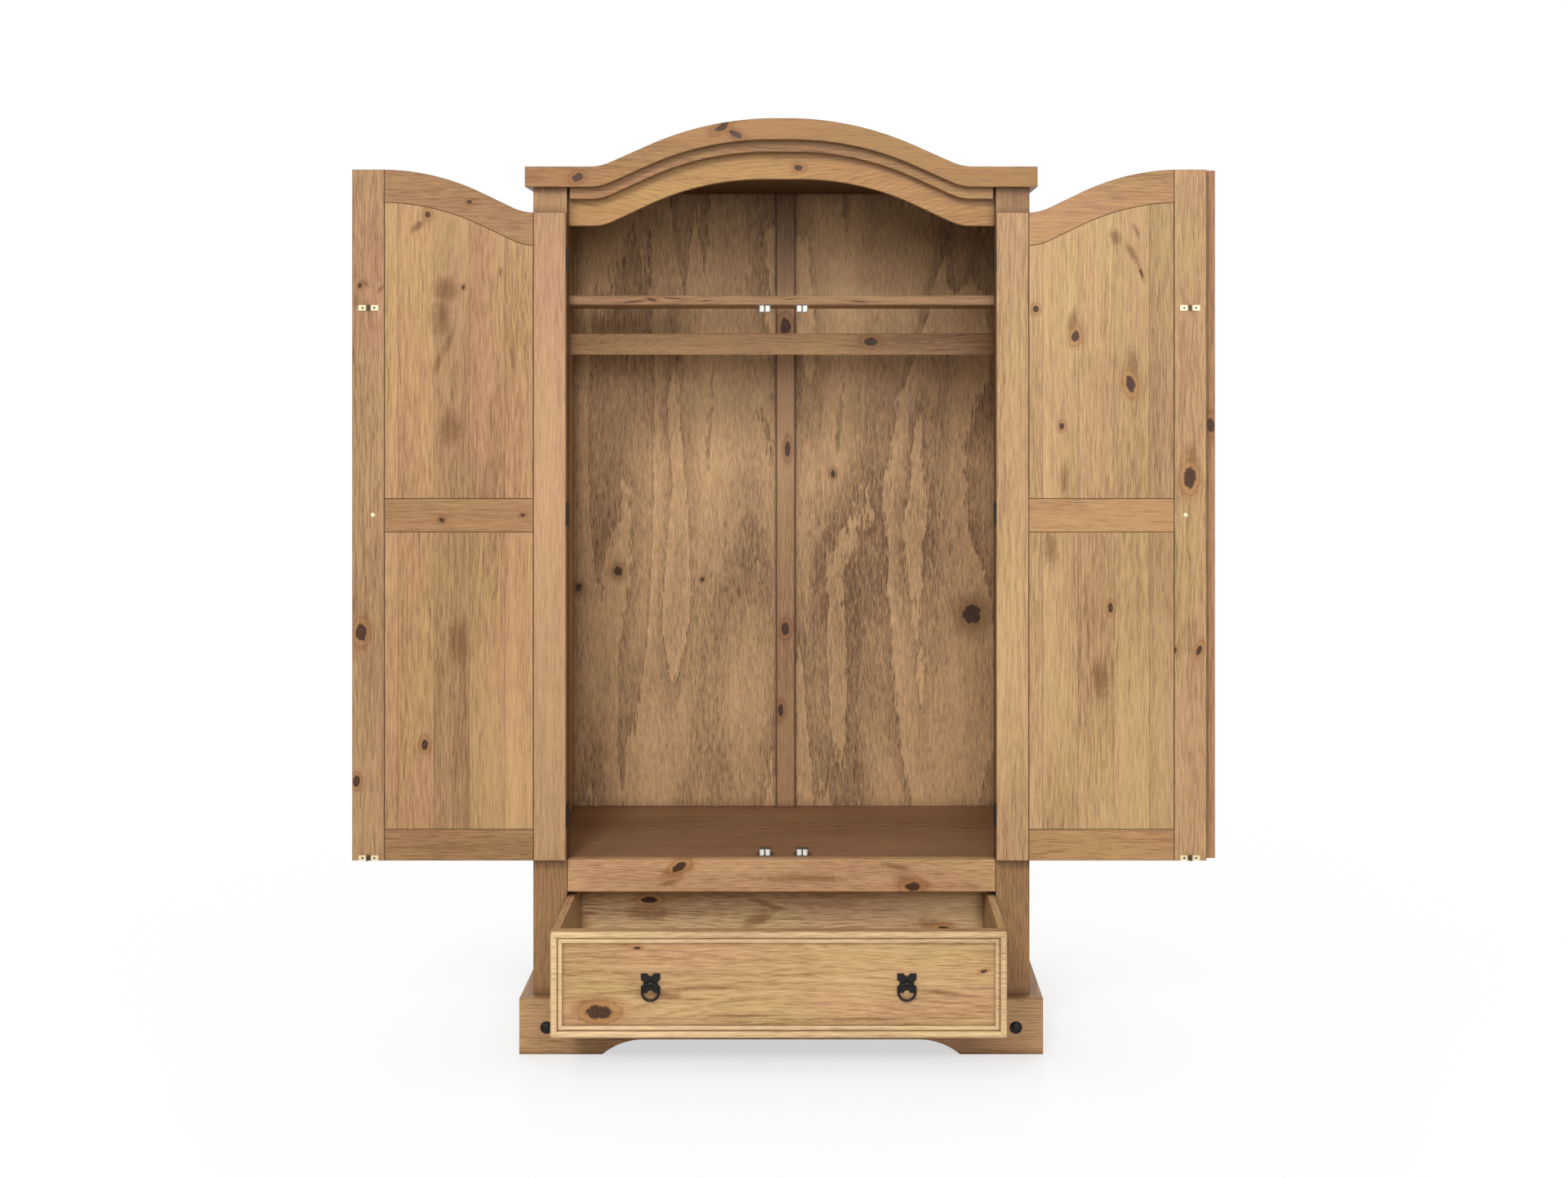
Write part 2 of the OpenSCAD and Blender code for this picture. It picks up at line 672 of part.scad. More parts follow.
module door_panels(x0, x1) color(pine) {
    dir = sign(x1 - x0);
    xa = min(x0 + dir * stile_w, x1 - dir * stile_w) + panel_gap;
    xb = max(x0 + dir * stile_w, x1 - dir * stile_w) - panel_gap;
    y = front_y + door_t - door_panel_t;
    upper = [door_rail_low[0], door_rail_low[1], door_rail_low[2], door_rail_low[3] - panel_gap];
    arch_topped_board(upper, middle_rail_z + middle_rail_h + panel_gap, xa, xb, y, door_panel_t);
    box([xa, y, door_bottom_z + bottom_rail_h + panel_gap],
        [xb, y + door_panel_t, middle_rail_z - panel_gap]);
}

// a thin plate with a spear that runs between the catch's rollers
module strikes(x) color(brass)
    for (z = strike_z) {
        box([x - strike_w / 2, strike_y, z], [x + strike_w / 2, strike_y + strike_t, z + strike_h]);
        box([x - spear_t / 2, strike_y, z + (strike_h - spear_h) / 2],
            [x + spear_t / 2, strike_y + strike_t + spear_l, z + (strike_h + spear_h) / 2]);
    }

module astragal() color(pine)
    open_right() arch_topped_board(door_top, door_bottom_z, right_lock_x - astragal_w / 2,
                                   right_lock_x + astragal_w / 2,
                                   front_y - astragal_t, astragal_t);

// ---- handles, drawn on a face at y = 0 that looks along -Y, the eye at x = z = 0 ----

module handle_plate() color(iron)
    difference() {
        union() {
            difference() {
                box([-plate_w / 2, -plate_t, -plate_w / 2], [plate_w / 2, 0, plate_w / 2]);
                for (a = [0 : 90 : 270]) rotate([0, a, 0])
                    translate([plate_w / 2 + 1, 1, 0]) rotate([90, 0, 0])
                        cylinder(r = notch_r, h = plate_t + 2);
            }
            translate([0, -eye_out, 0]) rotate([0, 90, 0])
                cylinder(r = eye_r, h = eye_w, center = true);
        }
        translate([0, -eye_out, 0]) rotate([0, 90, 0])
            cylinder(r = eye_hole_r, h = eye_w + 2, center = true);
        translate([0, 1, 0]) rotate([90, 0, 0])
            cylinder(r = screw_r + plate_bore_play, h = plate_t + 1);
    }

module handle_ring() color(iron)
    translate([0, -eye_out, -ring_r]) rotate([90, 0, 0])
        rotate_extrude() translate([ring_r, 0]) circle(wire_r);

// screw through wood of thickness t, its head on the far face
module handle_screw(t) color(brass) {
    translate([0, t + screw_head_t, 0]) rotate([90, 0, 0])
        cylinder(r = screw_r, h = t + screw_head_t + plate_t);
    translate([0, t, 0]) mirror([0, 1, 0]) dome(screw_head_r, screw_head_t);
}

module left_handle() {
    open_left() translate([left_lock_x - door_handle_inset, front_y, door_handle_z]) children();
}
module right_handle() {
    open_right() translate([right_lock_x + door_handle_inset, front_y, door_handle_z]) children();
}
module drawer_handle(side) {
    pulled() translate([side * drawer_handle_gap / 2, drawer_face_y, drawer_handle_z]) children();
}

// ---- drawer ----

module drawer_front() color(pine)
    pulled() difference() {
        box([-drawer_x, drawer_face_y, drawer_z0], [drawer_x, drawer_box_y, drawer_z1]);
        drawer_bottom_room();
        for (s = [-1, 1]) translate([s * drawer_handle_gap / 2, drawer_face_y - 1, drawer_handle_z])
            rotate([-90, 0, 0]) cylinder(r = screw_r + bore_play, h = drawer_front_t + 2);
    }

// section of a rounded bead: a strip of width w and height base under a low arc
module bead(w, base, crown) {
    r = ((w / 2) ^ 2 + crown ^ 2) / (2 * crown);
    intersection() {
        translate([w / 2, base + crown - r]) circle(r);
        square([w, base + crown + 1]);
    }
    square([w, base]);
}

// section of the mitred moulding: two beads with a groove between
module moulding_section() {
    bead(outer_bead_w, drawer_moulding_t - outer_crown, outer_crown);
    translate([outer_bead_w - eps, 0])
        square([bead_groove_w + 2 * eps, drawer_moulding_t - groove_d]);
    translate([outer_bead_w + bead_groove_w, 0])
        bead(inner_bead_w, drawer_moulding_t - inner_drop - inner_crown, inner_crown);
}

// one length of moulding along X with both ends mitred, its outer edge on z = 0
module mitred_length(length) {
    intersection() {
        translate([-length / 2, 0, 0]) rotate([90, 0, 90])
            linear_extrude(length) rotate(90) moulding_section();
        translate([0, 1, 0]) rotate([90, 0, 0]) linear_extrude(drawer_moulding_t + 2)
            polygon([[-length / 2 + mitre_gap, 0], [length / 2 - mitre_gap, 0],
                     [length / 2 - mitre_gap - drawer_moulding_w, drawer_moulding_w],
                     [-length / 2 + mitre_gap + drawer_moulding_w, drawer_moulding_w]]);
    }
}

module drawer_moulding() color(pine)
    pulled() translate([0, drawer_face_y, drawer_middle_z])
        for (turn = [0, 90, 180, 270]) {
            length = turn % 180 == 0 ? 2 * drawer_x : drawer_z1 - drawer_z0;
            offset_z = turn % 180 == 0 ? (drawer_z1 - drawer_z0) / 2 : drawer_x;
            rotate([0, turn, 0]) translate([0, 0, -offset_z]) mitred_length(length);
        }

// room for the bottom in the grooves of the front and the sides
module drawer_bottom_room() {
    box([-drawer_x + drawer_side_t - drawer_groove, drawer_box_y - drawer_groove, drawer_floor_z],
        [drawer_x - drawer_side_t + drawer_groove, drawer_back_y + 1,
         drawer_floor_z + drawer_bottom_t]);
}

module drawer_sides() color(pale_pine)
    pulled() difference() {
        both_sides() box([drawer_x - drawer_side_t, drawer_box_y, drawer_side_z0],
                         [drawer_x, drawer_back_y, drawer_z1 - side_step]);
        drawer_bottom_room();
    }

module drawer_back() color(pale_pine)
    pulled() box([-drawer_x + drawer_side_t, drawer_back_y - drawer_side_t - back_inset,
                  drawer_floor_z + drawer_bottom_t],
                 [drawer_x - drawer_side_t, drawer_back_y - back_inset, drawer_z1 - back_drop]);

module drawer_bottom() color(pale_pine)
    pulled() box([-drawer_x + drawer_side_t - drawer_groove, drawer_box_y - drawer_groove,
                  drawer_floor_z],
                 [drawer_x - drawer_side_t + drawer_groove, drawer_back_y - back_inset,
                  drawer_floor_z + drawer_bottom_t]);

module left_door_stiles() open_left() door_stiles(left_hinge_x, left_lock_x);
module left_door_rails() open_left() door_rails(left_hinge_x, left_lock_x);
module left_door_panels() open_left() door_panels(left_hinge_x, left_lock_x);
module left_strikes() open_left() strikes(left_lock_x - strike_inset);
module right_door_stiles() open_right() door_stiles(right_hinge_x, right_lock_x);
module right_door_rails() open_right() door_rails(right_hinge_x, right_lock_x);
module right_door_panels() open_right() door_panels(right_hinge_x, right_lock_x);
module right_strikes() open_right() strikes(right_lock_x + strike_inset);

front_posts();
rear_posts();
side_rails();
side_panels();
front_rail();
frieze_board();
frieze_moulding();
cornice_front();
cornice_returns();
top_board();
cabinet_floor();
shelf();
cleats();
hanging_rail();
hanging_rail_blocks();
back_panels();
back_batten();
rear_rails();
plinth_front();
plinth_sides();
plinth_studs();
drawer_runners();
carcass_hinge_leaves();
hinge_pins();
catch_housings();
roller(catch_x[0], -1, roller_z_high);  // upper_left_roller_outer
roller(catch_x[0], 1, roller_z_high);  // upper_left_roller_inner
roller(catch_x[1], -1, roller_z_high);  // upper_right_roller_inner
roller(catch_x[1], 1, roller_z_high);  // upper_right_roller_outer
roller(catch_x[0], -1, roller_z_low);  // lower_left_roller_outer
roller(catch_x[0], 1, roller_z_low);  // lower_left_roller_inner
roller(catch_x[1], -1, roller_z_low);  // lower_right_roller_inner
roller(catch_x[1], 1, roller_z_low);  // lower_right_roller_outer
left_door_stiles();
left_door_rails();
left_door_panels();
left_strikes();
left_handle() handle_plate();  // left_handle_plate
left_handle() handle_ring();  // left_handle_ring
left_handle() handle_screw(door_t);  // left_handle_screw
left_hinge_leaves();
right_door_stiles();
right_door_rails();
right_door_panels();
right_strikes();
right_handle() handle_plate();  // right_handle_plate
right_handle() handle_ring();  // right_handle_ring
right_handle() handle_screw(door_t);  // right_handle_screw
right_hinge_leaves();
astragal();
drawer_front();
drawer_moulding();
drawer_sides();
drawer_back();
drawer_bottom();
union() {  // drawer_handle_plates
    drawer_handle(-1) handle_plate();
    drawer_handle(1) handle_plate();
}
drawer_handle(-1) handle_ring();  // drawer_ring_left
drawer_handle(1) handle_ring();  // drawer_ring_right
union() {  // drawer_handle_screws
    drawer_handle(-1) handle_screw(drawer_front_t);
    drawer_handle(1) handle_screw(drawer_front_t);
}
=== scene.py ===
"""A two-door pine wardrobe with one drawer, doors open, on a white floor."""

import math

import bmesh
import bpy
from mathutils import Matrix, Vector


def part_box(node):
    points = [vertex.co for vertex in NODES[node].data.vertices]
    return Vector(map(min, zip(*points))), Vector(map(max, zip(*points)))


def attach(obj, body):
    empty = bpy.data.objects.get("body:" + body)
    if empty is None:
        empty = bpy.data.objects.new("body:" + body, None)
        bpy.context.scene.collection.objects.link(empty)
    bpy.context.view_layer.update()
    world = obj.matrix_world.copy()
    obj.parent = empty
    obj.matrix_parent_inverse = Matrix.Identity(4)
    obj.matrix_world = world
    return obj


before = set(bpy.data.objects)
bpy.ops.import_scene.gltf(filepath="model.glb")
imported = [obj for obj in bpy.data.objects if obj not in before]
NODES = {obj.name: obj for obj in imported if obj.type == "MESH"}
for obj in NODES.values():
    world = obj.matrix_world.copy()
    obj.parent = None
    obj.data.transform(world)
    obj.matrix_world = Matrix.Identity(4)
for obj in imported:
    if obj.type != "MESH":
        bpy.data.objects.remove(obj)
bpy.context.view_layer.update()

MM = 0.001

# Which object axes run along the grain, across the board and through it.
GRAIN = {
    "Z": ("Z", "X", "Y"),
    "X": ("X", "Z", "Y"),
    "Y": ("Y", "Z", "X"),
    "side": ("Z", "Y", "X"),
}

# Half widths of the dark lines where members meet, and of the painted shade band at the top board's
# underside.
JOINT_SEAM = 1.6 * MM
TOP_UNDERSIDE_SHADE = 2 * MM
BATTEN_SEAM = 5 * MM

ARRIS = 2.2 * MM  # radius at which the worn edges are rounded in the shading
CORNER_REACH = 22 * MM  # how far out of a corner the painted shade reaches
PLY_CORNER_REACH = 30 * MM
GLUE_LINE = 1.2 * MM
DOOR_BOARD = 72 * MM
SIDE_BOARD = 82 * MM
FRONT_BOARD = 160 * MM
# One board each side of the middle, so a left and a right post differ.
POST_PAIR = (0.0, 0.6)

# Shares of a board's own tone, for red, green and blue.
PALE = (1.15, 1.17, 1.18)
DARK = (0.68, 0.59, 0.48)
PINK = (0.99, 0.965, 0.97)
STRAW = (1.0, 1.02, 0.97)
# Dark of glue lines and waxed joints, also used for the painted shade in corners, along edges and
# under the top board.
GUM_AND_SHADE = (0.50, 0.40, 0.32)
KNOT_HALO = (0.82, 0.68, 0.52)
KNOT_COLLAR = (1.06, 1.02, 0.82)
KNOT_RIPPLE = (0.72, 0.60, 0.50)
PLY_UMBER = (0.60, 0.54, 0.50)
PLY_PALE = (1.22, 1.24, 1.26)
PLY_HALO = (0.62, 0.52, 0.42)
# Painted shade in the plywood's corners.
PLY_CORNER_SHADE = (0.5, 0.42, 0.35)
NYLON_CLOUD = (0.95, 0.95, 0.93)

# Display colours.
KNOT_DARK = (36, 20, 14)
KNOT_BROWN = (78, 43, 27)
KNOT_EDGE = (30, 16, 10)
PLY_KNOT = (48, 29, 20)
STRIKE_BAND = (92, 70, 46)
BRASS = (224, 208, 168)
WORN_BRASS = (240, 228, 196)


# ---------------------------------------------------------------- node trees
def linear(red, green, blue):
    """A linear colour from display values of 0 to 255."""
    parts = []
    for part in (red, green, blue):
        level = part / 255
        parts.append(level / 12.92 if level <= 0.04045 else ((level + 0.055) / 1.055) ** 2.4)
    return (*parts, 1.0)


def shaded(tone, shares):
    """The linear colour of a tone times its three shares."""
    return linear(*(min(part * share, 255) for part, share in zip(tone, shares)))


class Tree:
    """Short calls that add nodes to one node tree and return their outputs."""

    def __init__(self, tree):
        self.nodes = tree.nodes
        self.links = tree.links

    def put(self, kind, inputs, **settings):
        node = self.nodes.new(kind)
        for key, value in settings.items():
            setattr(node, key, value)
        for key, value in inputs.items():
            if isinstance(value, bpy.types.NodeSocket):
                self.links.new(value, node.inputs[key])
            else:
                node.inputs[key].default_value = value
        return node

    def calc(self, operation, *values):
        inputs = dict(enumerate(values))
        return self.put("ShaderNodeMath", inputs, operation=operation).outputs[0]

    def apart(self, first, second):
        """The distance between two values."""
        return self.calc("ABSOLUTE", self.calc("SUBTRACT", first, second))

    def sway(self, level, *parts):
        """Adds each noise's swing about its middle, times its weight."""
        for noise, weight in parts:
            level = self.calc("MULTIPLY_ADD", self.calc("SUBTRACT", noise, 0.5), weight, level)
        return level

    def vector(self, x=0.0, y=0.0, z=0.0):
        return self.put("ShaderNodeCombineXYZ", {"X": x, "Y": y, "Z": z}).outputs[0]

    def noise(self, place, scale, detail=2.0, roughness=0.5, distortion=0.0):
        inputs = {
            "Vector": place,
            "Scale": scale,
            "Detail": detail,
            "Roughness": roughness,
            "Distortion": distortion,
        }
        return self.put("ShaderNodeTexNoise", inputs).outputs[0]

    def random(self, value):
        inputs = {"W": value}
        return self.put("ShaderNodeTexWhiteNoise", inputs, noise_dimensions="1D").outputs[0]

    def span(self, value, low, high, out_low=0.0, out_high=1.0, shape="SMOOTHSTEP"):
        """Maps low to out_low and high to out_high, eased at both ends."""
        inputs = {
            "Value": value,
            "From Min": low,
            "From Max": high,
            "To Min": out_low,
            "To Max": out_high,
        }
        node = self.put("ShaderNodeMapRange", inputs, interpolation_type=shape)
        return node.outputs[0]

    def ramp(self, value, low, high, out_low=0.0, out_high=1.0):
        """Like span, but straight."""
        return self.span(value, low, high, out_low, out_high, "LINEAR")

    def mix(self, factor, first, second, blend="MIX"):
        inputs = {0: factor, 6: first, 7: second}
        node = self.put("ShaderNodeMix", inputs, data_type="RGBA", blend_type=blend)
        return node.outputs[2]

    def place(self):
        return self.put("ShaderNodeTexCoord", {}).outputs["Object"]

    def split(self, place):
        return self.put("ShaderNodeSeparateXYZ", {"Vector": place}).outputs

    def crevice(self, reach):
        """1 in the open, less in corners nearer than reach."""
        return self.put("ShaderNodeAmbientOcclusion", {"Distance": reach}, samples=4).outputs["AO"]


def start_material(name):
    material = bpy.data.materials.new(name)
    material.use_nodes = True
    tree = Tree(material.node_tree)
    return material, tree, material.node_tree.nodes["Principled BSDF"]


def finish_shader(tree, shader, colour, rough, height, depth, strength, rounded=None):
    """Links colour and roughness, and a bump from height, over a rounded normal if one is given."""
    tree.links.new(colour, shader.inputs["Base Color"])
    tree.links.new(rough, shader.inputs["Roughness"])
    inputs = {"Height": height, "Distance": depth, "Strength": strength}
    if rounded is not None:
        inputs["Normal"] = rounded
    bump = tree.put("ShaderNodeBump", inputs)
    tree.links.new(bump.outputs[0], shader.inputs["Normal"])


# ------------------------------------------------------------------ the wood
def make_knot_group():
    """One knot: how far it pushes the grain aside, and how near its middle a point is."""
    group = bpy.data.node_groups.new("knot", "ShaderNodeTree")
    for name in ("Along", "Across", "U", "V", "Radius", "Stretch", "Cos", "Sin", "Ragged"):
        group.interface.new_socket(name, in_out="INPUT", socket_type="NodeSocketFloat")
    for name in ("Push", "Reach"):
        group.interface.new_socket(name, in_out="OUTPUT", socket_type="NodeSocketFloat")
    tree = Tree(group)
    given = tree.nodes.new("NodeGroupInput").outputs
    result = tree.nodes.new("NodeGroupOutput")
    du = tree.calc("SUBTRACT", given["Along"], given["U"])
    dv = tree.calc("SUBTRACT", given["Across"], given["V"])
    du_cos, du_sin, dv_cos, dv_sin = (
        tree.calc("MULTIPLY", part, given[turn]) for part in (du, dv) for turn in ("Cos", "Sin")
    )
    along = tree.calc("ADD", du_cos, dv_sin)
    across = tree.calc("SUBTRACT", dv_cos, du_sin)
    half_length = tree.calc("MULTIPLY", given["Radius"], given["Stretch"])
    long_part = tree.calc("DIVIDE", along, half_length)
    wide_part = tree.calc("DIVIDE", across, given["Radius"])
    wide_square = tree.calc("MULTIPLY", wide_part, wide_part)
    square = tree.calc("MULTIPLY_ADD", long_part, long_part, wide_square)
    reach = tree.calc("ADD", tree.calc("SQRT", square), given["Ragged"])
    push = tree.calc("DIVIDE", dv, tree.calc("MAXIMUM", square, 1.0))
    tree.links.new(push, result.inputs["Push"])
    tree.links.new(reach, result.inputs["Reach"])
    return group


KNOT_GROUP = make_knot_group()


def knots_on(node, *rows):
    """Knots, resin streaks and patches of painted shade on one CAD node.

    A row gives the place across and up the node's box, each 0 to 1, the half
    width in mm, the length over the width, and the lean in degrees if it leans.
    """
    low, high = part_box(node)
    knots = []
    for across, up, radius, stretch, *tilt in rows:
        x = low.x + across * (high.x - low.x)
        z = low.z + up * (high.z - low.z)
        knots.append((x, z, radius * MM, stretch, math.radians(*tilt or (0.0,))))
    return knots


def wood_axes(tree, grain):
    split = tree.split(tree.place())
    return [split[axis] for axis in GRAIN[grain]]


def board_steps(tree, across, boards, seed):
    """A random number for each glued board, and a dark line where two meet."""
    if not boards:
        return seed * 0.37 % 1.0, None
    start, width = boards
    place = tree.calc("DIVIDE", tree.calc("SUBTRACT", across, start), width)
    index = tree.calc("FLOOR", place)
    part = tree.calc("FRACT", place)
    edge = tree.calc("MINIMUM", part, tree.calc("SUBTRACT", 1.0, part))
    line = tree.span(edge, 0.0, GLUE_LINE / width, 1.0, 0.0)
    return tree.random(tree.calc("ADD", index, seed)), line


def knot_nodes(tree, along, across, knots, grain):
    """One group node for each knot, all with the same ragged edge."""
    if not knots:
        return []
    wobble = tree.noise(tree.vector(along, across), 90.0)
    ragged = tree.ramp(wobble, 0.3, 0.7, -0.18, 0.18)
    nodes = []
    for x, z, radius, stretch, tilt in knots:
        u, v = (x, z) if grain == "X" else (z, x)
        inputs = {
            "Along": along,
            "Across": across,
            "U": u,
            "V": v,
            "Radius": radius,
            "Stretch": stretch,
            "Cos": math.cos(tilt),
            "Sin": math.sin(tilt),
            "Ragged": ragged,
        }
        nodes.append(tree.put("ShaderNodeGroup", inputs, node_tree=KNOT_GROUP))
    return nodes


def nearest(tree, nodes):
    """How near the nearest knot is, in knot radii, or None without knots."""
    reach = None
    for node in nodes:
        near = node.outputs["Reach"]
        reach = near if reach is None else tree.calc("MINIMUM", reach, near)
    return reach


def lay_knots(tree, along, across, knots, grain):
    """Bends the grain round each knot, and gives how near the nearest knot is."""
    nodes = knot_nodes(tree, along, across, knots, grain)
    bent = across
    for node in nodes:
        bent = tree.calc("MULTIPLY_ADD", node.outputs["Push"], -0.9, bent)
    return bent, nearest(tree, nodes)


def streak_and_shade_mask(tree, along, across, smudges, grain):
    """Soft dark marks, each strongest in its middle: resin streaks, and at the post tops painted
    shade.
    """
    reach = nearest(tree, knot_nodes(tree, along, across, smudges, grain))
    return tree.span(reach, 0.25, 1.3, 1.0, 0.0)


def dark_band_mask(tree, places, seams):
    """1 in the narrow waxed lines where two members meet and in bands of painted shade, such as under
    the top board, or None if none are given.
    """
    mask = None
    for axis, level, width in seams:
        line = tree.span(tree.apart(places[axis], level), width * 0.35, width, 1.0, 0.0)
        mask = line if mask is None else tree.calc("MAXIMUM", mask, line)
    return mask


def paint_knots(tree, colour, reach, fibre, tone):
    """A dark ringed heart, a golden collar and a browner halo that fades into the board."""
    halo = tree.calc("POWER", tree.span(reach, 1.0, 3.4, 1.0, 0.0), 1.6)
    colour = tree.mix(tree.calc("MULTIPLY", halo, 0.6), colour, shaded(tone, KNOT_HALO))
    collar = tree.span(tree.apart(reach, 1.32), 0.05, 0.3, 0.2, 0.0)
    colour = tree.mix(collar, colour, shaded(tone, KNOT_COLLAR))
    ripple = tree.span(tree.apart(reach, 1.75), 0.0, 0.22, 0.45, 0.0)
    colour = tree.mix(ripple, colour, shaded(tone, KNOT_RIPPLE))
    turns = tree.calc("MULTIPLY_ADD", reach, 17.0, tree.calc("MULTIPLY", fibre, 4.0))
    wave = tree.span(tree.calc("SINE", turns), -1.0, 1.0)
    core = tree.mix(wave, linear(*KNOT_DARK), linear(*KNOT_BROWN))
    heart = tree.mix(tree.span(reach, 0.62, 0.95), core, linear(*KNOT_EDGE))
    rim = tree.span(reach, 0.82, 1.1, 1.0, 0.0)
    return tree.mix(tree.calc("MULTIPLY", rim, 0.94), colour, heart), rim


def grain_noise(tree, places, along_scale, across_scale):
    """Noise drawn out along the grain, in features per metre."""
    scales = (along_scale, across_scale, across_scale)
    parts = [tree.calc("MULTIPLY", place, scale) for place, scale in zip(places, scales)]
    return tree.noise(tree.vector(*parts), 1.0, 2.0, 0.55)


def late_wood(tree, part, power, turn):
    """Darkens through each ring and drops back sharply after turn."""
    return tree.calc("MULTIPLY", tree.calc("POWER", part, power), tree.span(part, turn, 1.0, 1.0, 0.0))


def growth_rings(tree, places, chance, rings, flame):
    """The dark late wood of each ring: rings per metre from a heart that wanders."""
    along, bent, through = places
    slow = tree.vector(tree.calc("MULTIPLY", along, 0.8), tree.calc("MULTIPLY", bent, 3.0), through)
    sway = tree.ramp(tree.noise(slow, 1.6), 0.25, 0.75, -0.06 * flame, 0.06 * flame)
    quick = tree.vector(tree.calc("MULTIPLY", along, 5.0), tree.calc("MULTIPLY", bent, 22.0), through)
    shake = tree.ramp(tree.noise(quick, 1.5), 0.25, 0.75, -0.004, 0.004)
    slant = tree.calc("MULTIPLY", through, 0.7)
    place = tree.calc("ADD", tree.calc("ADD", bent, sway), tree.calc("ADD", shake, slant))
    spacing = tree.ramp(tree.noise(tree.vector(place, chance), 9.0, 1.0), 0.3, 0.7, -0.9, 0.9)
    phase = tree.calc("MULTIPLY_ADD", place, rings, tree.calc("MULTIPLY", spacing, 3.0))
    return late_wood(tree, tree.calc("FRACT", phase), 2.2, 0.88)


def paint_shade_and_edge_wax(tree, colour, gum_and_shade):
    """Paints shade into the corners, darkens every edge with painted shade and old wax, and gives the
    rounded normal.
    """
    # Painted shade in corners and creases, from ambient occlusion, partly the old wax gathered there.
    painted_corner_shade = tree.ramp(tree.crevice(CORNER_REACH), 0.15, 0.95, 0.85, 0.0)
    colour = tree.mix(painted_corner_shade, colour, gum_and_shade)
    # Darker within an arris radius of every edge: painted shade for the shadow lines at steps and
    # joints, partly old wax on worn edges.
    rounded = tree.put("ShaderNodeBevel", {"Radius": ARRIS}, samples=4).outputs[0]
    facing = tree.put("ShaderNodeNewGeometry", {}).outputs["Normal"]
    inputs = {0: rounded, 1: facing}
    flatness = tree.put("ShaderNodeVectorMath", inputs, operation="DOT_PRODUCT").outputs["Value"]
    return tree.mix(tree.span(flatness, 0.82, 0.995, 0.62, 0.0), colour, gum_and_shade), rounded


def pine(
    name,
    tone,
    grain="Z",
    boards=None,
    knots=(),
    smudges=(),
    seams=(),
    seed=1.0,
    rings=150.0,
    contrast=0.3,
    flame=0.5,
    tint=0.07,
    sheen=0.46,
    cloudy=1.0,
):
    """Waxed pine: growth rings, fibres, knots, glued boards, and painted shade in the corners and
    along the edges.

    boards is where the first glued board starts and how wide each is. contrast
    darkens the rings, flame bends them, tint sets how much boards differ, sheen
    is the roughness and cloudy the strength of the broad patches.
    """
    material, tree, shader = start_material(name)
    along, across, through = wood_axes(tree, grain)
    chance, board_line = board_steps(tree, across, boards, seed)
    shifted = tree.calc("MULTIPLY_ADD", chance, 7.3, along)
    bent, reach = lay_knots(tree, along, across, knots, grain)
    places = (shifted, bent, through)
    late = growth_rings(tree, places, chance, rings, flame)

    # Fibres at three scales, and broad soft patches.
    fibre = grain_noise(tree, places, 30.0, 400.0)
    dash = grain_noise(tree, places, 12.0, 190.0)
    streak = grain_noise(tree, places, 2.0, 62.0)
    patch = grain_noise(tree, places, 2.6, 9.0)
    cloud = grain_noise(tree, (shifted, across, through), 1.1, 2.6)
    level = tree.sway(0.53, (streak, 0.4), (dash, 0.4), (fibre, 1.1), (cloud, cloudy))
    level = tree.calc("MULTIPLY_ADD", late, -contrast, level)
    dark = shaded(tone, DARK)
    colour = tree.mix(tree.span(patch, 0.36, 0.64), shaded(tone, PINK), shaded(tone, STRAW))
    colour = tree.mix(tree.ramp(level, 0.5, 1.0), colour, shaded(tone, PALE))
    colour = tree.mix(tree.ramp(level, 0.5, 0.0), colour, dark)

    # Each glued board is a little lighter or darker than the next.
    # For glue lines and joints, and for painted shade.
    gum_and_shade = shaded(tone, GUM_AND_SHADE)
    if board_line is not None:
        step = tree.ramp(chance, 0.0, 1.0, 1.0 - tint, 1.0 + tint)
        grey = tree.put("ShaderNodeCombineColor", {0: step, 1: step, 2: step}).outputs[0]
        colour = tree.mix(1.0, colour, grey, "MULTIPLY")
        colour = tree.mix(tree.calc("MULTIPLY", board_line, 0.5), colour, gum_and_shade)
    # Resin streaks, and at the post tops painted shade.
    if smudges:
        smudge = streak_and_shade_mask(tree, along, across, smudges, grain)
        grain_break = tree.ramp(dash, 0.3, 0.7, 1.0, 0.5)
        colour = tree.mix(tree.calc("MULTIPLY", smudge, grain_break), colour, dark)

    height = tree.calc("MULTIPLY_ADD", late, -0.6, tree.calc("MULTIPLY", fibre, 0.8))
    if reach is not None:
        colour, rim = paint_knots(tree, colour, reach, fibre, tone)
        height = tree.calc("MULTIPLY_ADD", rim, -0.5, height)
    # Waxed joint lines, and painted shade on the top board's underside.
    lines = dark_band_mask(tree, dict(zip(GRAIN[grain], (along, across, through))), seams)
    if lines is not None:
        colour = tree.mix(tree.calc("MULTIPLY", lines, 0.88), colour, gum_and_shade)
    # Painted shade in corners and along edges, partly old wax.
    colour, rounded = paint_shade_and_edge_wax(tree, colour, gum_and_shade)
    rough = tree.ramp(fibre, 0.3, 0.7, sheen - 0.06, sheen + 0.12)
    finish_shader(tree, shader, colour, rough, height, 0.0002, 0.5, rounded)
    shader.inputs["Specular IOR Level"].default_value = 0.27
    return material


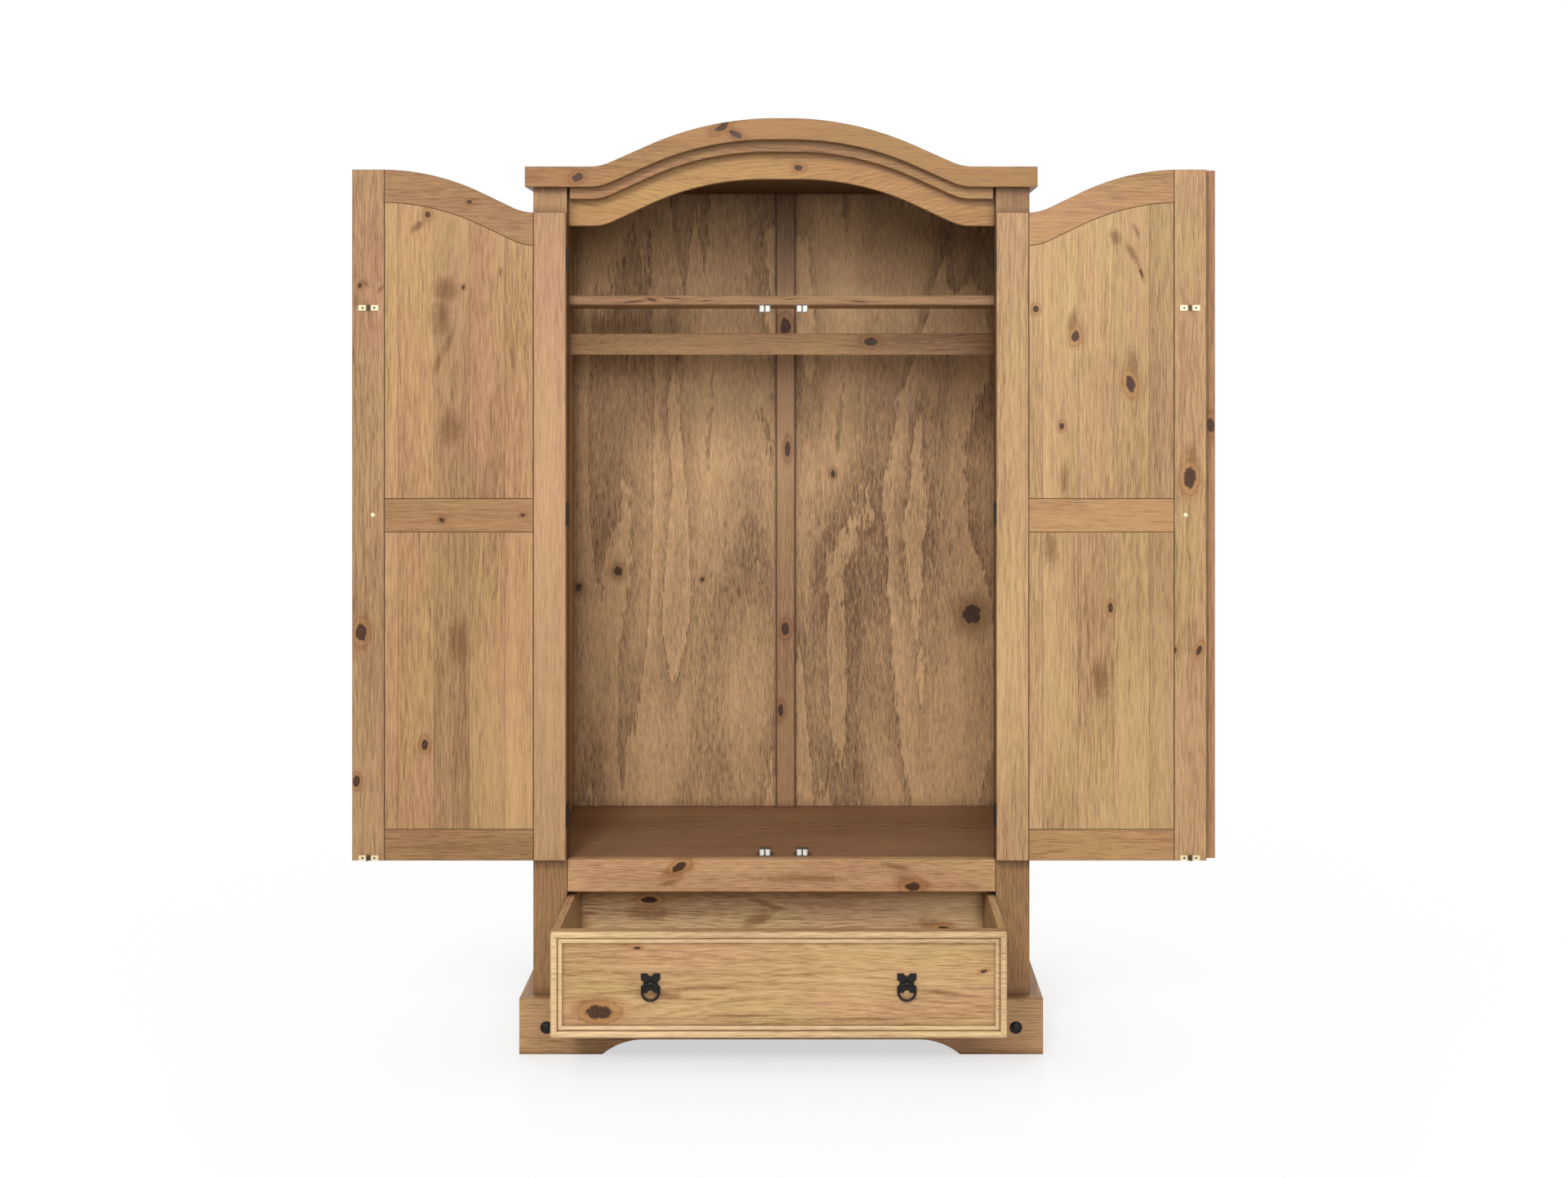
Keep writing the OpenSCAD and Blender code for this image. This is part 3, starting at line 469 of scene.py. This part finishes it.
def plywood(name, tone, knots=(), seed=2.0):
    """Rotary-cut pine face: broad flame figure like the contour lines of a map."""
    material, tree, shader = start_material(name)
    along, across, through = places = wood_axes(tree, "Z")
    bent, reach = lay_knots(tree, along, across, knots, "Z")
    flow = tree.vector(tree.calc("MULTIPLY", along, 0.42), tree.calc("MULTIPLY", bent, 2.6), seed)
    field = tree.noise(flow, 1.9, 3.0, 0.45, 0.35)
    ragged = grain_noise(tree, places, 30.0, 170.0)
    phase = tree.calc("MULTIPLY_ADD", field, 7.0, tree.calc("MULTIPLY", ragged, 0.45))
    late = late_wood(tree, tree.calc("FRACT", phase), 1.6, 0.95)
    fine_part = tree.calc("FRACT", tree.calc("MULTIPLY", phase, 4.0))
    fine_late = tree.calc("POWER", fine_part, 3.0)
    fibre = grain_noise(tree, places, 45.0, 340.0)
    dash = grain_noise(tree, places, 20.0, 150.0)
    pore = grain_noise(tree, places, 70.0, 300.0)
    patch = grain_noise(tree, places, 1.4, 4.0)

    pale = shaded(tone, PLY_PALE)
    level = tree.calc("MULTIPLY_ADD", late, -0.5, 0.70)
    level = tree.calc("MULTIPLY_ADD", fine_late, -0.12, level)
    level = tree.sway(level, (patch, 1.2), (dash, 0.7), (fibre, 1.3))
    colour = tree.mix(tree.ramp(level, 0.5, 1.1), linear(*tone), pale)
    colour = tree.mix(tree.ramp(level, 0.5, -0.1), colour, shaded(tone, PLY_UMBER))
    colour = tree.mix(tree.span(pore, 0.60, 0.78, 0.0, 0.7), colour, pale)
    if reach is not None:
        halo = tree.calc("POWER", tree.span(reach, 1.0, 4.0, 1.0, 0.0), 2.0)
        colour = tree.mix(tree.calc("MULTIPLY", halo, 0.6), colour, shaded(tone, PLY_HALO))
        rim = tree.span(reach, 0.8, 1.05, 1.0, 0.0)
        colour = tree.mix(tree.calc("MULTIPLY", rim, 0.9), colour, linear(*PLY_KNOT))
    # Painted shade in the corners, from ambient occlusion.
    painted_corner_shade = tree.ramp(tree.crevice(PLY_CORNER_REACH), 0.3, 0.95, 0.55, 0.0)
    colour = tree.mix(painted_corner_shade, colour, shaded(tone, PLY_CORNER_SHADE))
    rough = tree.ramp(fibre, 0.3, 0.7, 0.5, 0.7)
    height = tree.calc("ADD", fibre, tree.calc("MULTIPLY", late, -0.4))
    finish_shader(tree, shader, colour, rough, height, 0.0003, 0.5)
    shader.inputs["Specular IOR Level"].default_value = 0.25
    return material


# ---------------------------------------------------------- metal and nylon
def metal(name, tone, worn, rough, shine, middle_band=None):
    """Painted, plated or bare metal with a mottled surface and rubbed high spots.

    The last argument gives the middle and half width of a dark band across the piece.
    """
    material, tree, shader = start_material(name)
    place = tree.place()
    scale = 160.0
    mottle = tree.noise(place, scale, 4.0, 0.6)
    fine = tree.noise(place, scale * 6, 2.0, 0.6)
    rubbed = tree.span(mottle, 0.55, 0.78, 0.0, 0.6)
    colour = tree.mix(rubbed, linear(*tone), linear(*worn))
    # Darker in a band across the middle of the piece.
    if middle_band is not None:
        middle, half = middle_band
        off = tree.apart(tree.split(place)["X"], middle)
        band = tree.span(off, half, half * 1.2, 1.0, 0.0)
        colour = tree.mix(band, colour, linear(*STRIKE_BAND))
    level = tree.ramp(tree.calc("ADD", mottle, fine), 0.7, 1.3, rough - 0.08, rough + 0.12)
    height = tree.calc("MULTIPLY_ADD", fine, 0.3, mottle)
    finish_shader(tree, shader, colour, level, height, 0.0003, 0.5)
    shader.inputs["Metallic"].default_value = shine
    return material


def nylon(name, tone):
    """Milky plastic with a faint moulded grain."""
    material, tree, shader = start_material(name)
    place = tree.place()
    grain = tree.noise(place, 900.0)
    cloud = tree.noise(place, 120.0)
    colour = tree.mix(tree.span(cloud, 0.35, 0.65), linear(*tone), shaded(tone, NYLON_CLOUD))
    level = tree.ramp(grain, 0.3, 0.7, 0.38, 0.5)
    finish_shader(tree, shader, colour, level, grain, 0.0001, 0.4)
    return material


def paint(material, *names):
    """Puts the material on CAD nodes, in the slots that they already have."""
    for name in names:
        for slot in NODES[name].material_slots:
            slot.material = material


def dress(material, tone, grain, *nodes, **settings):
    """Makes one pine and paints the nodes with it."""
    paint(pine(material, tone, grain, **settings), *nodes)


# ------------------------------------------------------------ wood by member
DOOR_KNOTS = {
    "left_door_panels": [(0.29, 0.981, 6, 1.2), (0.53, 0.865, 3, 1.6), (0.27, 0.135, 7, 1.5)],
    "left_door_stiles": [(0.035, 0.832, 4, 1.4, 20), (0.042, 0.33, 11, 1.6), (0.02, 0.115, 7, 1.6)],
    "left_door_rails": [(0.385, 0.493, 5, 1.1), (0.57, 0.953, 4, 1.4), (0.93, 0.5, 3, 1.6)],
    "right_door_panels": [
        (0.045, 0.83, 6, 1.2),
        (0.32, 0.787, 8, 1.5, 8),
        (0.70, 0.711, 9, 1.9, -12),
        (0.225, 0.643, 5, 1.4),
        (0.775, 0.888, 2.5, 4.0, -18),
        (0.56, 0.353, 5, 2.0),
    ],
    "right_door_stiles": [(0.92, 0.554, 12, 1.7), (0.85, 0.304, 4, 1.5), (0.965, 0.304, 5, 2.2, 20)],
    "right_door_rails": [],
}

DOOR_SMUDGES = {
    "left_door_panels": [
        (0.41, 0.862, 30, 1.0),
        (0.38, 0.815, 22, 2.0),
        (0.42, 0.775, 9, 4.5, 22),
        (0.36, 0.745, 8, 3.5, 18),
        (0.22, 0.962, 8, 2.6, 52),
        (0.44, 0.64, 26, 1.6),
        (0.78, 0.89, 4, 3.0),
        (0.86, 0.75, 5, 6.0, -8),
        (0.5, 0.3, 24, 2.6),
    ],
    "left_door_stiles": [
        (0.06, 0.835, 6, 2.2, -48),
        (0.135, 0.828, 5, 3.0, 40),
        (0.02, 0.81, 5, 3.0),
    ],
    "right_door_panels": [
        (0.60, 0.945, 13, 1.5, -20),
        (0.71, 0.92, 8, 3.6, -30),
        (0.74, 0.955, 5, 4.0, -24),
        (0.3, 0.81, 12, 2.4, 14),
        (0.72, 0.74, 13, 2.8, -14),
        (0.24, 0.56, 9, 4.5),
        (0.5, 0.24, 22, 2.4),
        (0.15, 0.45, 16, 2.8),
    ],
    "right_door_stiles": [(0.93, 0.585, 13, 2.4)],
}

# For each door: the tones of its panels, stiles and rails, and its seed.
DOORS = {
    "left": ((169, 131, 92), (168, 130, 95), (152, 115, 76), 3.0),
    "right": ((178, 143, 101), (179, 143, 102), (168, 128, 87), 9.0),
}


def dress_doors():
    for side, (panel_tone, stile_tone, rail_tone, seed) in DOORS.items():
        panels, stiles, rails = (f"{side}_door_{part}" for part in ("panels", "stiles", "rails"))
        first_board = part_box(panels)[0].x + 27 * MM
        low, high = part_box(rails)
        seams = [("X", low.x, JOINT_SEAM), ("X", high.x, JOINT_SEAM)]
        dress(
            f"{side}_panel_pine",
            panel_tone,
            "Z",
            panels,
            boards=(first_board, DOOR_BOARD),
            knots=knots_on(panels, *DOOR_KNOTS[panels]),
            smudges=knots_on(panels, *DOOR_SMUDGES[panels]),
            seed=seed,
            tint=0.085,
            contrast=0.2,
        )
        dress(
            f"{side}_stile_pine",
            stile_tone,
            "Z",
            stiles,
            boards=(low.x, high.x - low.x),
            knots=knots_on(stiles, *DOOR_KNOTS[stiles]),
            smudges=knots_on(stiles, *DOOR_SMUDGES[stiles]),
            seams=seams,
            seed=seed + 20,
            tint=0.0,
            contrast=0.16,
        )
        dress(
            f"{side}_rail_pine",
            rail_tone,
            "X",
            rails,
            knots=knots_on(rails, *DOOR_KNOTS[rails]),
            seams=seams,
            seed=seed + 40,
            contrast=0.16,
        )


def dress_front():
    """Posts, front rail, frieze, moulding and cornice."""
    low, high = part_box("front_rail")
    seams = [("X", low.x, JOINT_SEAM), ("X", high.x, JOINT_SEAM)]
    post_knots = knots_on(
        "front_posts",
        (0.032, 0.527, 6, 1.2),
        (0.974, 0.572, 10, 1.3),
        (0.987, 0.504, 10, 1.2),
        (0.945, 0.49, 7, 1.1),
        (0.966, 0.732, 5, 1.3),
        (0.956, 0.289, 11, 1.2),
    )
    dress(
        "post_pine",
        (155, 117, 80),
        "Z",
        "front_posts",
        boards=POST_PAIR,
        knots=post_knots,
        # The two broad marks at the post tops are painted shade under the cornice, partly darker wood.
        smudges=knots_on("front_posts", (0.034, 0.985, 42, 0.8), (0.966, 0.985, 70, 0.7)),
        seams=seams,
        seed=60.0,
    )
    rail_smudges = knots_on(
        "front_rail",
        (0.255, 0.62, 15, 2.4, 24),
        (0.24, 0.3, 8, 4.0, 18),
        (0.80, 0.3, 16, 2.6, -14),
        (0.77, 0.75, 7, 5.0, -10),
        (0.55, 0.4, 9, 12.0),
    )
    dress(
        "front_rail_pine",
        (194, 152, 111),
        "X",
        "front_rail",
        knots=knots_on("front_rail", (0.262, 0.765, 8, 2.0, 28), (0.807, 0.16, 9, 1.8, 5)),
        smudges=rail_smudges,
        seams=seams,
        seed=63.0,
    )
    frieze_knots = knots_on("frieze_board", (0.54, 0.58, 6, 1.5))
    dress(
        "frieze_pine",
        (164, 123, 75),
        "X",
        "frieze_board",
        knots=frieze_knots,
        seed=64.0,
        flame=0.9,
        cloudy=1.2,
    )
    dress("moulding_pine", (158, 118, 76), "X", "frieze_moulding", seed=65.0)
    cornice_knots = knots_on(
        "cornice_front",
        (0.385, 0.875, 7, 2.4, 35),
        (0.41, 0.77, 6, 2.6, -30),
        (0.103, 0.14, 8, 1.4, 20),
    )
    dress(
        "cornice_pine",
        (150, 110, 67),
        "X",
        "cornice_front",
        knots=cornice_knots,
        seed=66.0,
        flame=0.8,
        cloudy=1.3,
    )
    dress("return_pine", (160, 121, 83), "Y", "cornice_returns", seed=67.0)
    astragal_knots = knots_on("astragal", (0.8, 0.63, 8, 2.0))
    dress("astragal_pine", (170, 128, 88), "Z", "astragal", knots=astragal_knots, seed=80.0)


def dress_case():
    """Sides, top, rear frame, plinth and drawer runners."""
    dress("rear_post_pine", (170, 131, 92), "Z", "rear_posts", seed=61.0, boards=POST_PAIR)
    # The top board's underside is darkened with painted shade.
    underside_shade = [("Z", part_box("top_board")[0].z, TOP_UNDERSIDE_SHADE)]
    dress("top_pine", (168, 129, 90), "Y", "top_board", seams=underside_shade, seed=68.0, sheen=0.66)
    dress("side_rail_pine", (174, 135, 96), "Y", "side_rails", seed=69.0)
    side_boards = (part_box("side_panels")[0].y, SIDE_BOARD)
    dress(
        "side_panel_pine",
        (176, 137, 97),
        "side",
        "side_panels",
        boards=side_boards,
        seed=70.0,
        contrast=0.2,
    )
    dress("cleat_pine", (150, 112, 80), "Y", "cleats", "drawer_runners", seed=75.0)
    dress("rear_rail_pine", (168, 130, 92), "X", "rear_rails", seed=76.0)
    dress("plinth_pine", (179, 140, 101), "X", "plinth_front", seed=77.0, cloudy=1.1)
    dress("plinth_side_pine", (176, 137, 99), "Y", "plinth_sides", seed=78.0)


def dress_inside():
    """Cabinet floor, shelf, hanging rail and the plywood back with its batten."""
    dress(
        "floor_pine",
        (144, 107, 78),
        "X",
        "cabinet_floor",
        seed=71.0,
        contrast=0.4,
        cloudy=1.6,
        sheen=0.5,
    )
    shelf_knots = knots_on(
        "shelf",
        (0.185, 0.30, 1.5, 14.0, 6),
        (0.225, 0.55, 2.6, 4.0, -14),
        (0.27, 0.70, 1.2, 16.0, -4),
        (0.34, 0.42, 1.0, 12.0, 3),
        (0.665, 0.35, 1.3, 13.0, -3),
        (0.52, 0.62, 1.0, 10.0, 4),
    )
    dress("shelf_pine", (142, 106, 70), "X", "shelf", knots=shelf_knots, seed=72.0)
    rail_knots = knots_on("hanging_rail", (0.7, 0.62, 9, 1.6))
    dress(
        "rail_pine",
        (176, 135, 93),
        "X",
        "hanging_rail",
        knots=rail_knots,
        seed=73.0,
        flame=1.0,
        cloudy=1.8,
    )
    dress("block_pine", (160, 124, 92), "Z", "hanging_rail_blocks", seed=74.0)
    batten_knots = knots_on(
        "back_batten",
        (0.6, 0.583, 6, 3.0),
        (0.5, 0.29, 9, 1.6),
        (0.25, 0.157, 6, 2.4),
        (0.5, 0.783, 12, 1.6),
    )
    low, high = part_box("back_batten")
    dress(
        "batten_pine",
        (156, 119, 84),
        "Z",
        "back_batten",
        knots=batten_knots,
        seams=[("X", low.x, BATTEN_SEAM), ("X", high.x, BATTEN_SEAM)],
        seed=79.0,
        cloudy=2.2,
    )
    back_knots = knots_on(
        "back_panels",
        (0.104, 0.486, 9, 1.3),
        (0.01, 0.464, 8, 1.2),
        (0.94, 0.428, 21, 1.1),
        (0.303, 0.475, 4, 1.3),
        (0.612, 0.619, 5, 1.6),
    )
    paint(plywood("back_ply", (176, 140, 101), back_knots), "back_panels")


def dress_drawer():
    front_knots = knots_on(
        "drawer_front",
        (0.106, 0.235, 13, 1.9),
        (0.19, 0.84, 3, 2.5),
        (0.95, 0.62, 3, 2.5, 20),
    )
    front_smudges = knots_on(
        "drawer_front",
        (0.10, 0.26, 24, 2.0),
        (0.33, 0.46, 5, 16.0, 1),
        (0.24, 0.40, 9, 6.0, -6),
        (0.42, 0.20, 3, 26.0),
        (0.70, 0.17, 3, 22.0),
        (0.86, 0.42, 6, 9.0, -8),
    )
    first_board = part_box("drawer_front")[0].z - 125 * MM
    dress(
        "drawer_front_pine",
        (188, 151, 108),
        "X",
        "drawer_front",
        boards=(first_board, FRONT_BOARD),
        knots=front_knots,
        smudges=front_smudges,
        seed=84.0,
        rings=90.0,
        flame=0.9,
        contrast=0.22,
        tint=0.03,
    )
    dress("drawer_moulding_pine", (207, 174, 132), "X", "drawer_moulding", seed=85.0)
    dress("drawer_side_pine", (196, 158, 116), "Y", "drawer_sides", seed=86.0)
    back_smudges = knots_on(
        "drawer_back",
        (0.17, 0.7, 18, 3.0),
        (0.44, 0.62, 16, 2.6, 24),
        (0.46, 0.8, 7, 7.0, -18),
        (0.88, 0.55, 16, 3.0, -8),
    )
    dress(
        "drawer_back_pine",
        (226, 190, 148),
        "X",
        "drawer_back",
        knots=knots_on("drawer_back", (0.17, 0.85, 7, 2.4), (0.9, 0.5, 6, 2.4)),
        smudges=back_smudges,
        seed=87.0,
    )
    paint(plywood("drawer_ply", (176, 140, 104), seed=5.0), "drawer_bottom")


def dress_fittings():
    iron = metal("black_iron", (26, 24, 23), (58, 54, 50), 0.46, 0.6)
    steel = metal("dark_steel", (58, 52, 46), (104, 94, 82), 0.42, 0.9)
    zinc = metal("catch_zinc", (96, 92, 88), (150, 146, 140), 0.4, 0.9)
    brass = metal("pale_brass", BRASS, WORN_BRASS, 0.36, 0.45)
    white = nylon("white_nylon", (238, 235, 228))
    for side in ("left", "right"):
        strikes = side + "_strikes"
        low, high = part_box(strikes)
        middle_band = ((low.x + high.x) / 2, 4.5 * MM)
        paint(metal(side + "_strike_brass", BRASS, WORN_BRASS, 0.36, 0.45, middle_band), strikes)
        paint(brass, side + "_handle_screw")
        paint(steel, side + "_hinge_leaves")
        paint(iron, side + "_handle_plate", side + "_handle_ring")
    paint(iron, "plinth_studs", "drawer_handle_plates", "drawer_ring_left", "drawer_ring_right")
    paint(steel, "carcass_hinge_leaves", "hinge_pins", "drawer_handle_screws")
    paint(zinc, "catch_housings")
    paint(white, *(name for name in NODES if "_roller_" in name))


# ------------------------------------------------------------- screw heads
# Rings of the head from rim to middle: share of the radius, share of the height.
HEAD_RINGS = ((1.0, 0.0), (1.0, 0.35), (0.88, 0.75), (0.55, 0.95), (0.3, 1.0))
HEAD_SIDES = 24
HEAD_RADIUS = 2.1 * MM
HEAD_HEIGHT = 0.8 * MM
CROSS_DEPTH = 0.55  # share of the height
CROSS_REACH = 0.8  # share of the radius
CROSS_TURN = 0.5

STRIKE_THICK = 1.2 * MM
STRIKE_HEIGHT = 11 * MM
SCREW_SHIFT = 12 * MM


def screw_mesh(name):
    """A pan head that faces -Y, with a cross sunk in its middle."""
    mesh = bmesh.new()
    rings = []
    for share, rise in HEAD_RINGS:
        ring = []
        for step in range(HEAD_SIDES):
            angle = 2 * math.pi * step / HEAD_SIDES + CROSS_TURN
            in_cross = step % (HEAD_SIDES // 4) == 0 and share < CROSS_REACH
            level = rise - CROSS_DEPTH if in_cross else rise
            x = math.cos(angle) * HEAD_RADIUS * share
            z = math.sin(angle) * HEAD_RADIUS * share
            ring.append(mesh.verts.new((x, -HEAD_HEIGHT * level, z)))
        rings.append(ring)
    middle = mesh.verts.new((0, -HEAD_HEIGHT * (1 - CROSS_DEPTH), 0))
    back = mesh.verts.new((0, 0, 0))
    for step in range(HEAD_SIDES):
        after = (step + 1) % HEAD_SIDES
        for outer, inner in zip(rings, rings[1:]):
            mesh.faces.new((outer[step], outer[after], inner[after], inner[step]))
        mesh.faces.new((rings[-1][step], rings[-1][after], middle))
        mesh.faces.new((rings[0][after], rings[0][step], back))
    bmesh.ops.recalc_face_normals(mesh, faces=mesh.faces)
    data = bpy.data.meshes.new(name)
    mesh.to_mesh(data)
    mesh.free()
    return data


def add_screw(name, place, body, material):
    data = screw_mesh(name)
    data.materials.append(material)
    screw = bpy.data.objects.new(name, data)
    screw.location = place
    bpy.context.scene.collection.objects.link(screw)
    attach(screw, body)


def add_screws():
    """Two screws in each strike."""
    steel = metal("screw_steel", (52, 42, 32), (96, 82, 66), 0.45, 0.7)
    for side in ("left", "right"):
        low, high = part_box(side + "_strikes")
        middle = (low.x + high.x) / 2
        face = high.y - STRIKE_THICK
        heights = {"low": low.z + STRIKE_HEIGHT / 2, "high": high.z - STRIKE_HEIGHT / 2}
        for level, up in heights.items():
            for end, shift in (("a", -SCREW_SHIFT), ("b", SCREW_SHIFT)):
                name = f"{side}_strike_screw_{level}_{end}"
                add_screw(name, (middle + shift, face, up), side + "_door", steel)


# ------------------------------------------------------------- floor, lights
WHITE = (1, 1, 1, 1)
FLOOR_REACH = 30.0
FLOOR_COLOUR = (0.92, 0.92, 0.92, 1.0)
FOOT_HALF_WIDE = 0.53
FOOT_HALF_DEEP = 0.29
WORLD_LIGHT = 0.33

# Name, place, height looked at, disc size and power.
LAMPS = (
    ("key", (-1.1, -5.0, 4.2), 0.9, 1.3, 150.0),
    ("fill", (0.7, -6.0, 2.6), 0.8, 2.4, 130.0),
    ("back_left", (-3.6, 4.4, 2.6), 0.9, 1.8, 75.0),
    ("back_right", (3.6, 4.4, 2.6), 0.9, 1.8, 75.0),
)

CAMERA_PLACE = (0.080, -4.5555, 1.394)
CAMERA_LENS = 48.3
CAMERA_SHIFT = (-0.0234, -0.1424)
SENSOR_WIDTH = 36.0


def seen_rays(tree):
    """1 for what the camera sees straight on, in a reflection or through glass."""
    rays = tree.put("ShaderNodeLightPath", {}).outputs
    seen = tree.calc("MAXIMUM", rays["Is Camera Ray"], rays["Is Glossy Ray"])
    return tree.calc("MAXIMUM", seen, rays["Is Transmission Ray"])


def footprint_distance(tree, place):
    """How far a point of the floor lies outside the wardrobe's footprint."""
    split = tree.split(place)
    aside, ahead = (
        tree.calc("MAXIMUM", tree.calc("SUBTRACT", tree.calc("ABSOLUTE", split[axis]), half), 0.0)
        for axis, half in (("X", FOOT_HALF_WIDE), ("Y", FOOT_HALF_DEEP))
    )
    square = tree.calc("MULTIPLY_ADD", aside, aside, tree.calc("MULTIPLY", ahead, ahead))
    return tree.calc("SQRT", square)


def make_floor():
    """A glossy white floor that glows for the camera, less so near the wardrobe's shadow."""
    mesh = bpy.data.meshes.new("floor")
    reach = FLOOR_REACH
    corners = [(-reach, -reach, 0), (reach, -reach, 0), (reach, reach, 0), (-reach, reach, 0)]
    mesh.from_pydata(corners, [], [(0, 1, 2, 3)])
    floor = bpy.data.objects.new("floor", mesh)
    bpy.context.scene.collection.objects.link(floor)
    material, tree, shader = start_material("white_floor")
    place = tree.place()
    rough = tree.ramp(tree.noise(place, 3.0), 0.3, 0.7, 0.14, 0.18)
    shader.inputs["Base Color"].default_value = FLOOR_COLOUR
    tree.links.new(rough, shader.inputs["Roughness"])
    away = footprint_distance(tree, place)
    fade = tree.calc("DIVIDE", away, tree.calc("ADD", away, 0.1))
    near_share = tree.calc("MULTIPLY_ADD", fade, 0.4, 0.6)
    far_share = tree.span(away, 0.3, 2.4)
    glow = tree.put("ShaderNodeEmission", {"Color": WHITE, "Strength": 1.0})
    share = tree.calc("MULTIPLY", seen_rays(tree), tree.calc("MAXIMUM", near_share, far_share))
    both = tree.put("ShaderNodeMixShader", {0: share, 1: shader.outputs[0], 2: glow.outputs[0]})
    output = material.node_tree.nodes["Material Output"]
    tree.links.new(both.outputs[0], output.inputs["Surface"])
    mesh.materials.append(material)


def make_world():
    """White to the camera, and a weaker even light on the wardrobe."""
    world = bpy.data.worlds.new("studio")
    bpy.context.scene.world = world
    world.use_nodes = True
    tree = Tree(world.node_tree)
    tree.nodes.clear()
    seen = seen_rays(tree)
    light = tree.put("ShaderNodeBackground", {"Color": WHITE, "Strength": WORLD_LIGHT})
    white = tree.put("ShaderNodeBackground", {"Color": WHITE, "Strength": 1.0})
    both = tree.put("ShaderNodeMixShader", {0: seen, 1: light.outputs[0], 2: white.outputs[0]})
    tree.put("ShaderNodeOutputWorld", {"Surface": both.outputs[0]})


def make_lamps():
    for name, place, aim, size, power in LAMPS:
        data = bpy.data.lights.new(name, "AREA")
        data.shape = "DISK"
        data.size = size
        data.energy = power
        lamp = bpy.data.objects.new(name, data)
        lamp.location = place
        lamp.visible_camera = False
        towards = Vector((0.0, 0.0, aim)) - Vector(place)
        lamp.rotation_euler = towards.to_track_quat("-Z", "Y").to_euler()
        bpy.context.scene.collection.objects.link(lamp)


def make_camera():
    """Stands level in front, a little right of the middle, and shifts to frame the whole wardrobe."""
    data = bpy.data.cameras.new("camera")
    data.sensor_width = SENSOR_WIDTH
    data.lens = CAMERA_LENS
    data.shift_x, data.shift_y = CAMERA_SHIFT
    data.clip_end = 100.0
    camera = bpy.data.objects.new("camera", data)
    camera.location = CAMERA_PLACE
    camera.rotation_euler = (math.radians(90), 0, 0)
    bpy.context.scene.collection.objects.link(camera)
    bpy.context.scene.camera = camera


dress_doors()
dress_front()
dress_case()
dress_inside()
dress_drawer()
dress_fittings()
add_screws()
make_floor()
make_world()
make_lamps()
make_camera()
bpy.context.scene.view_settings.view_transform = "Standard"
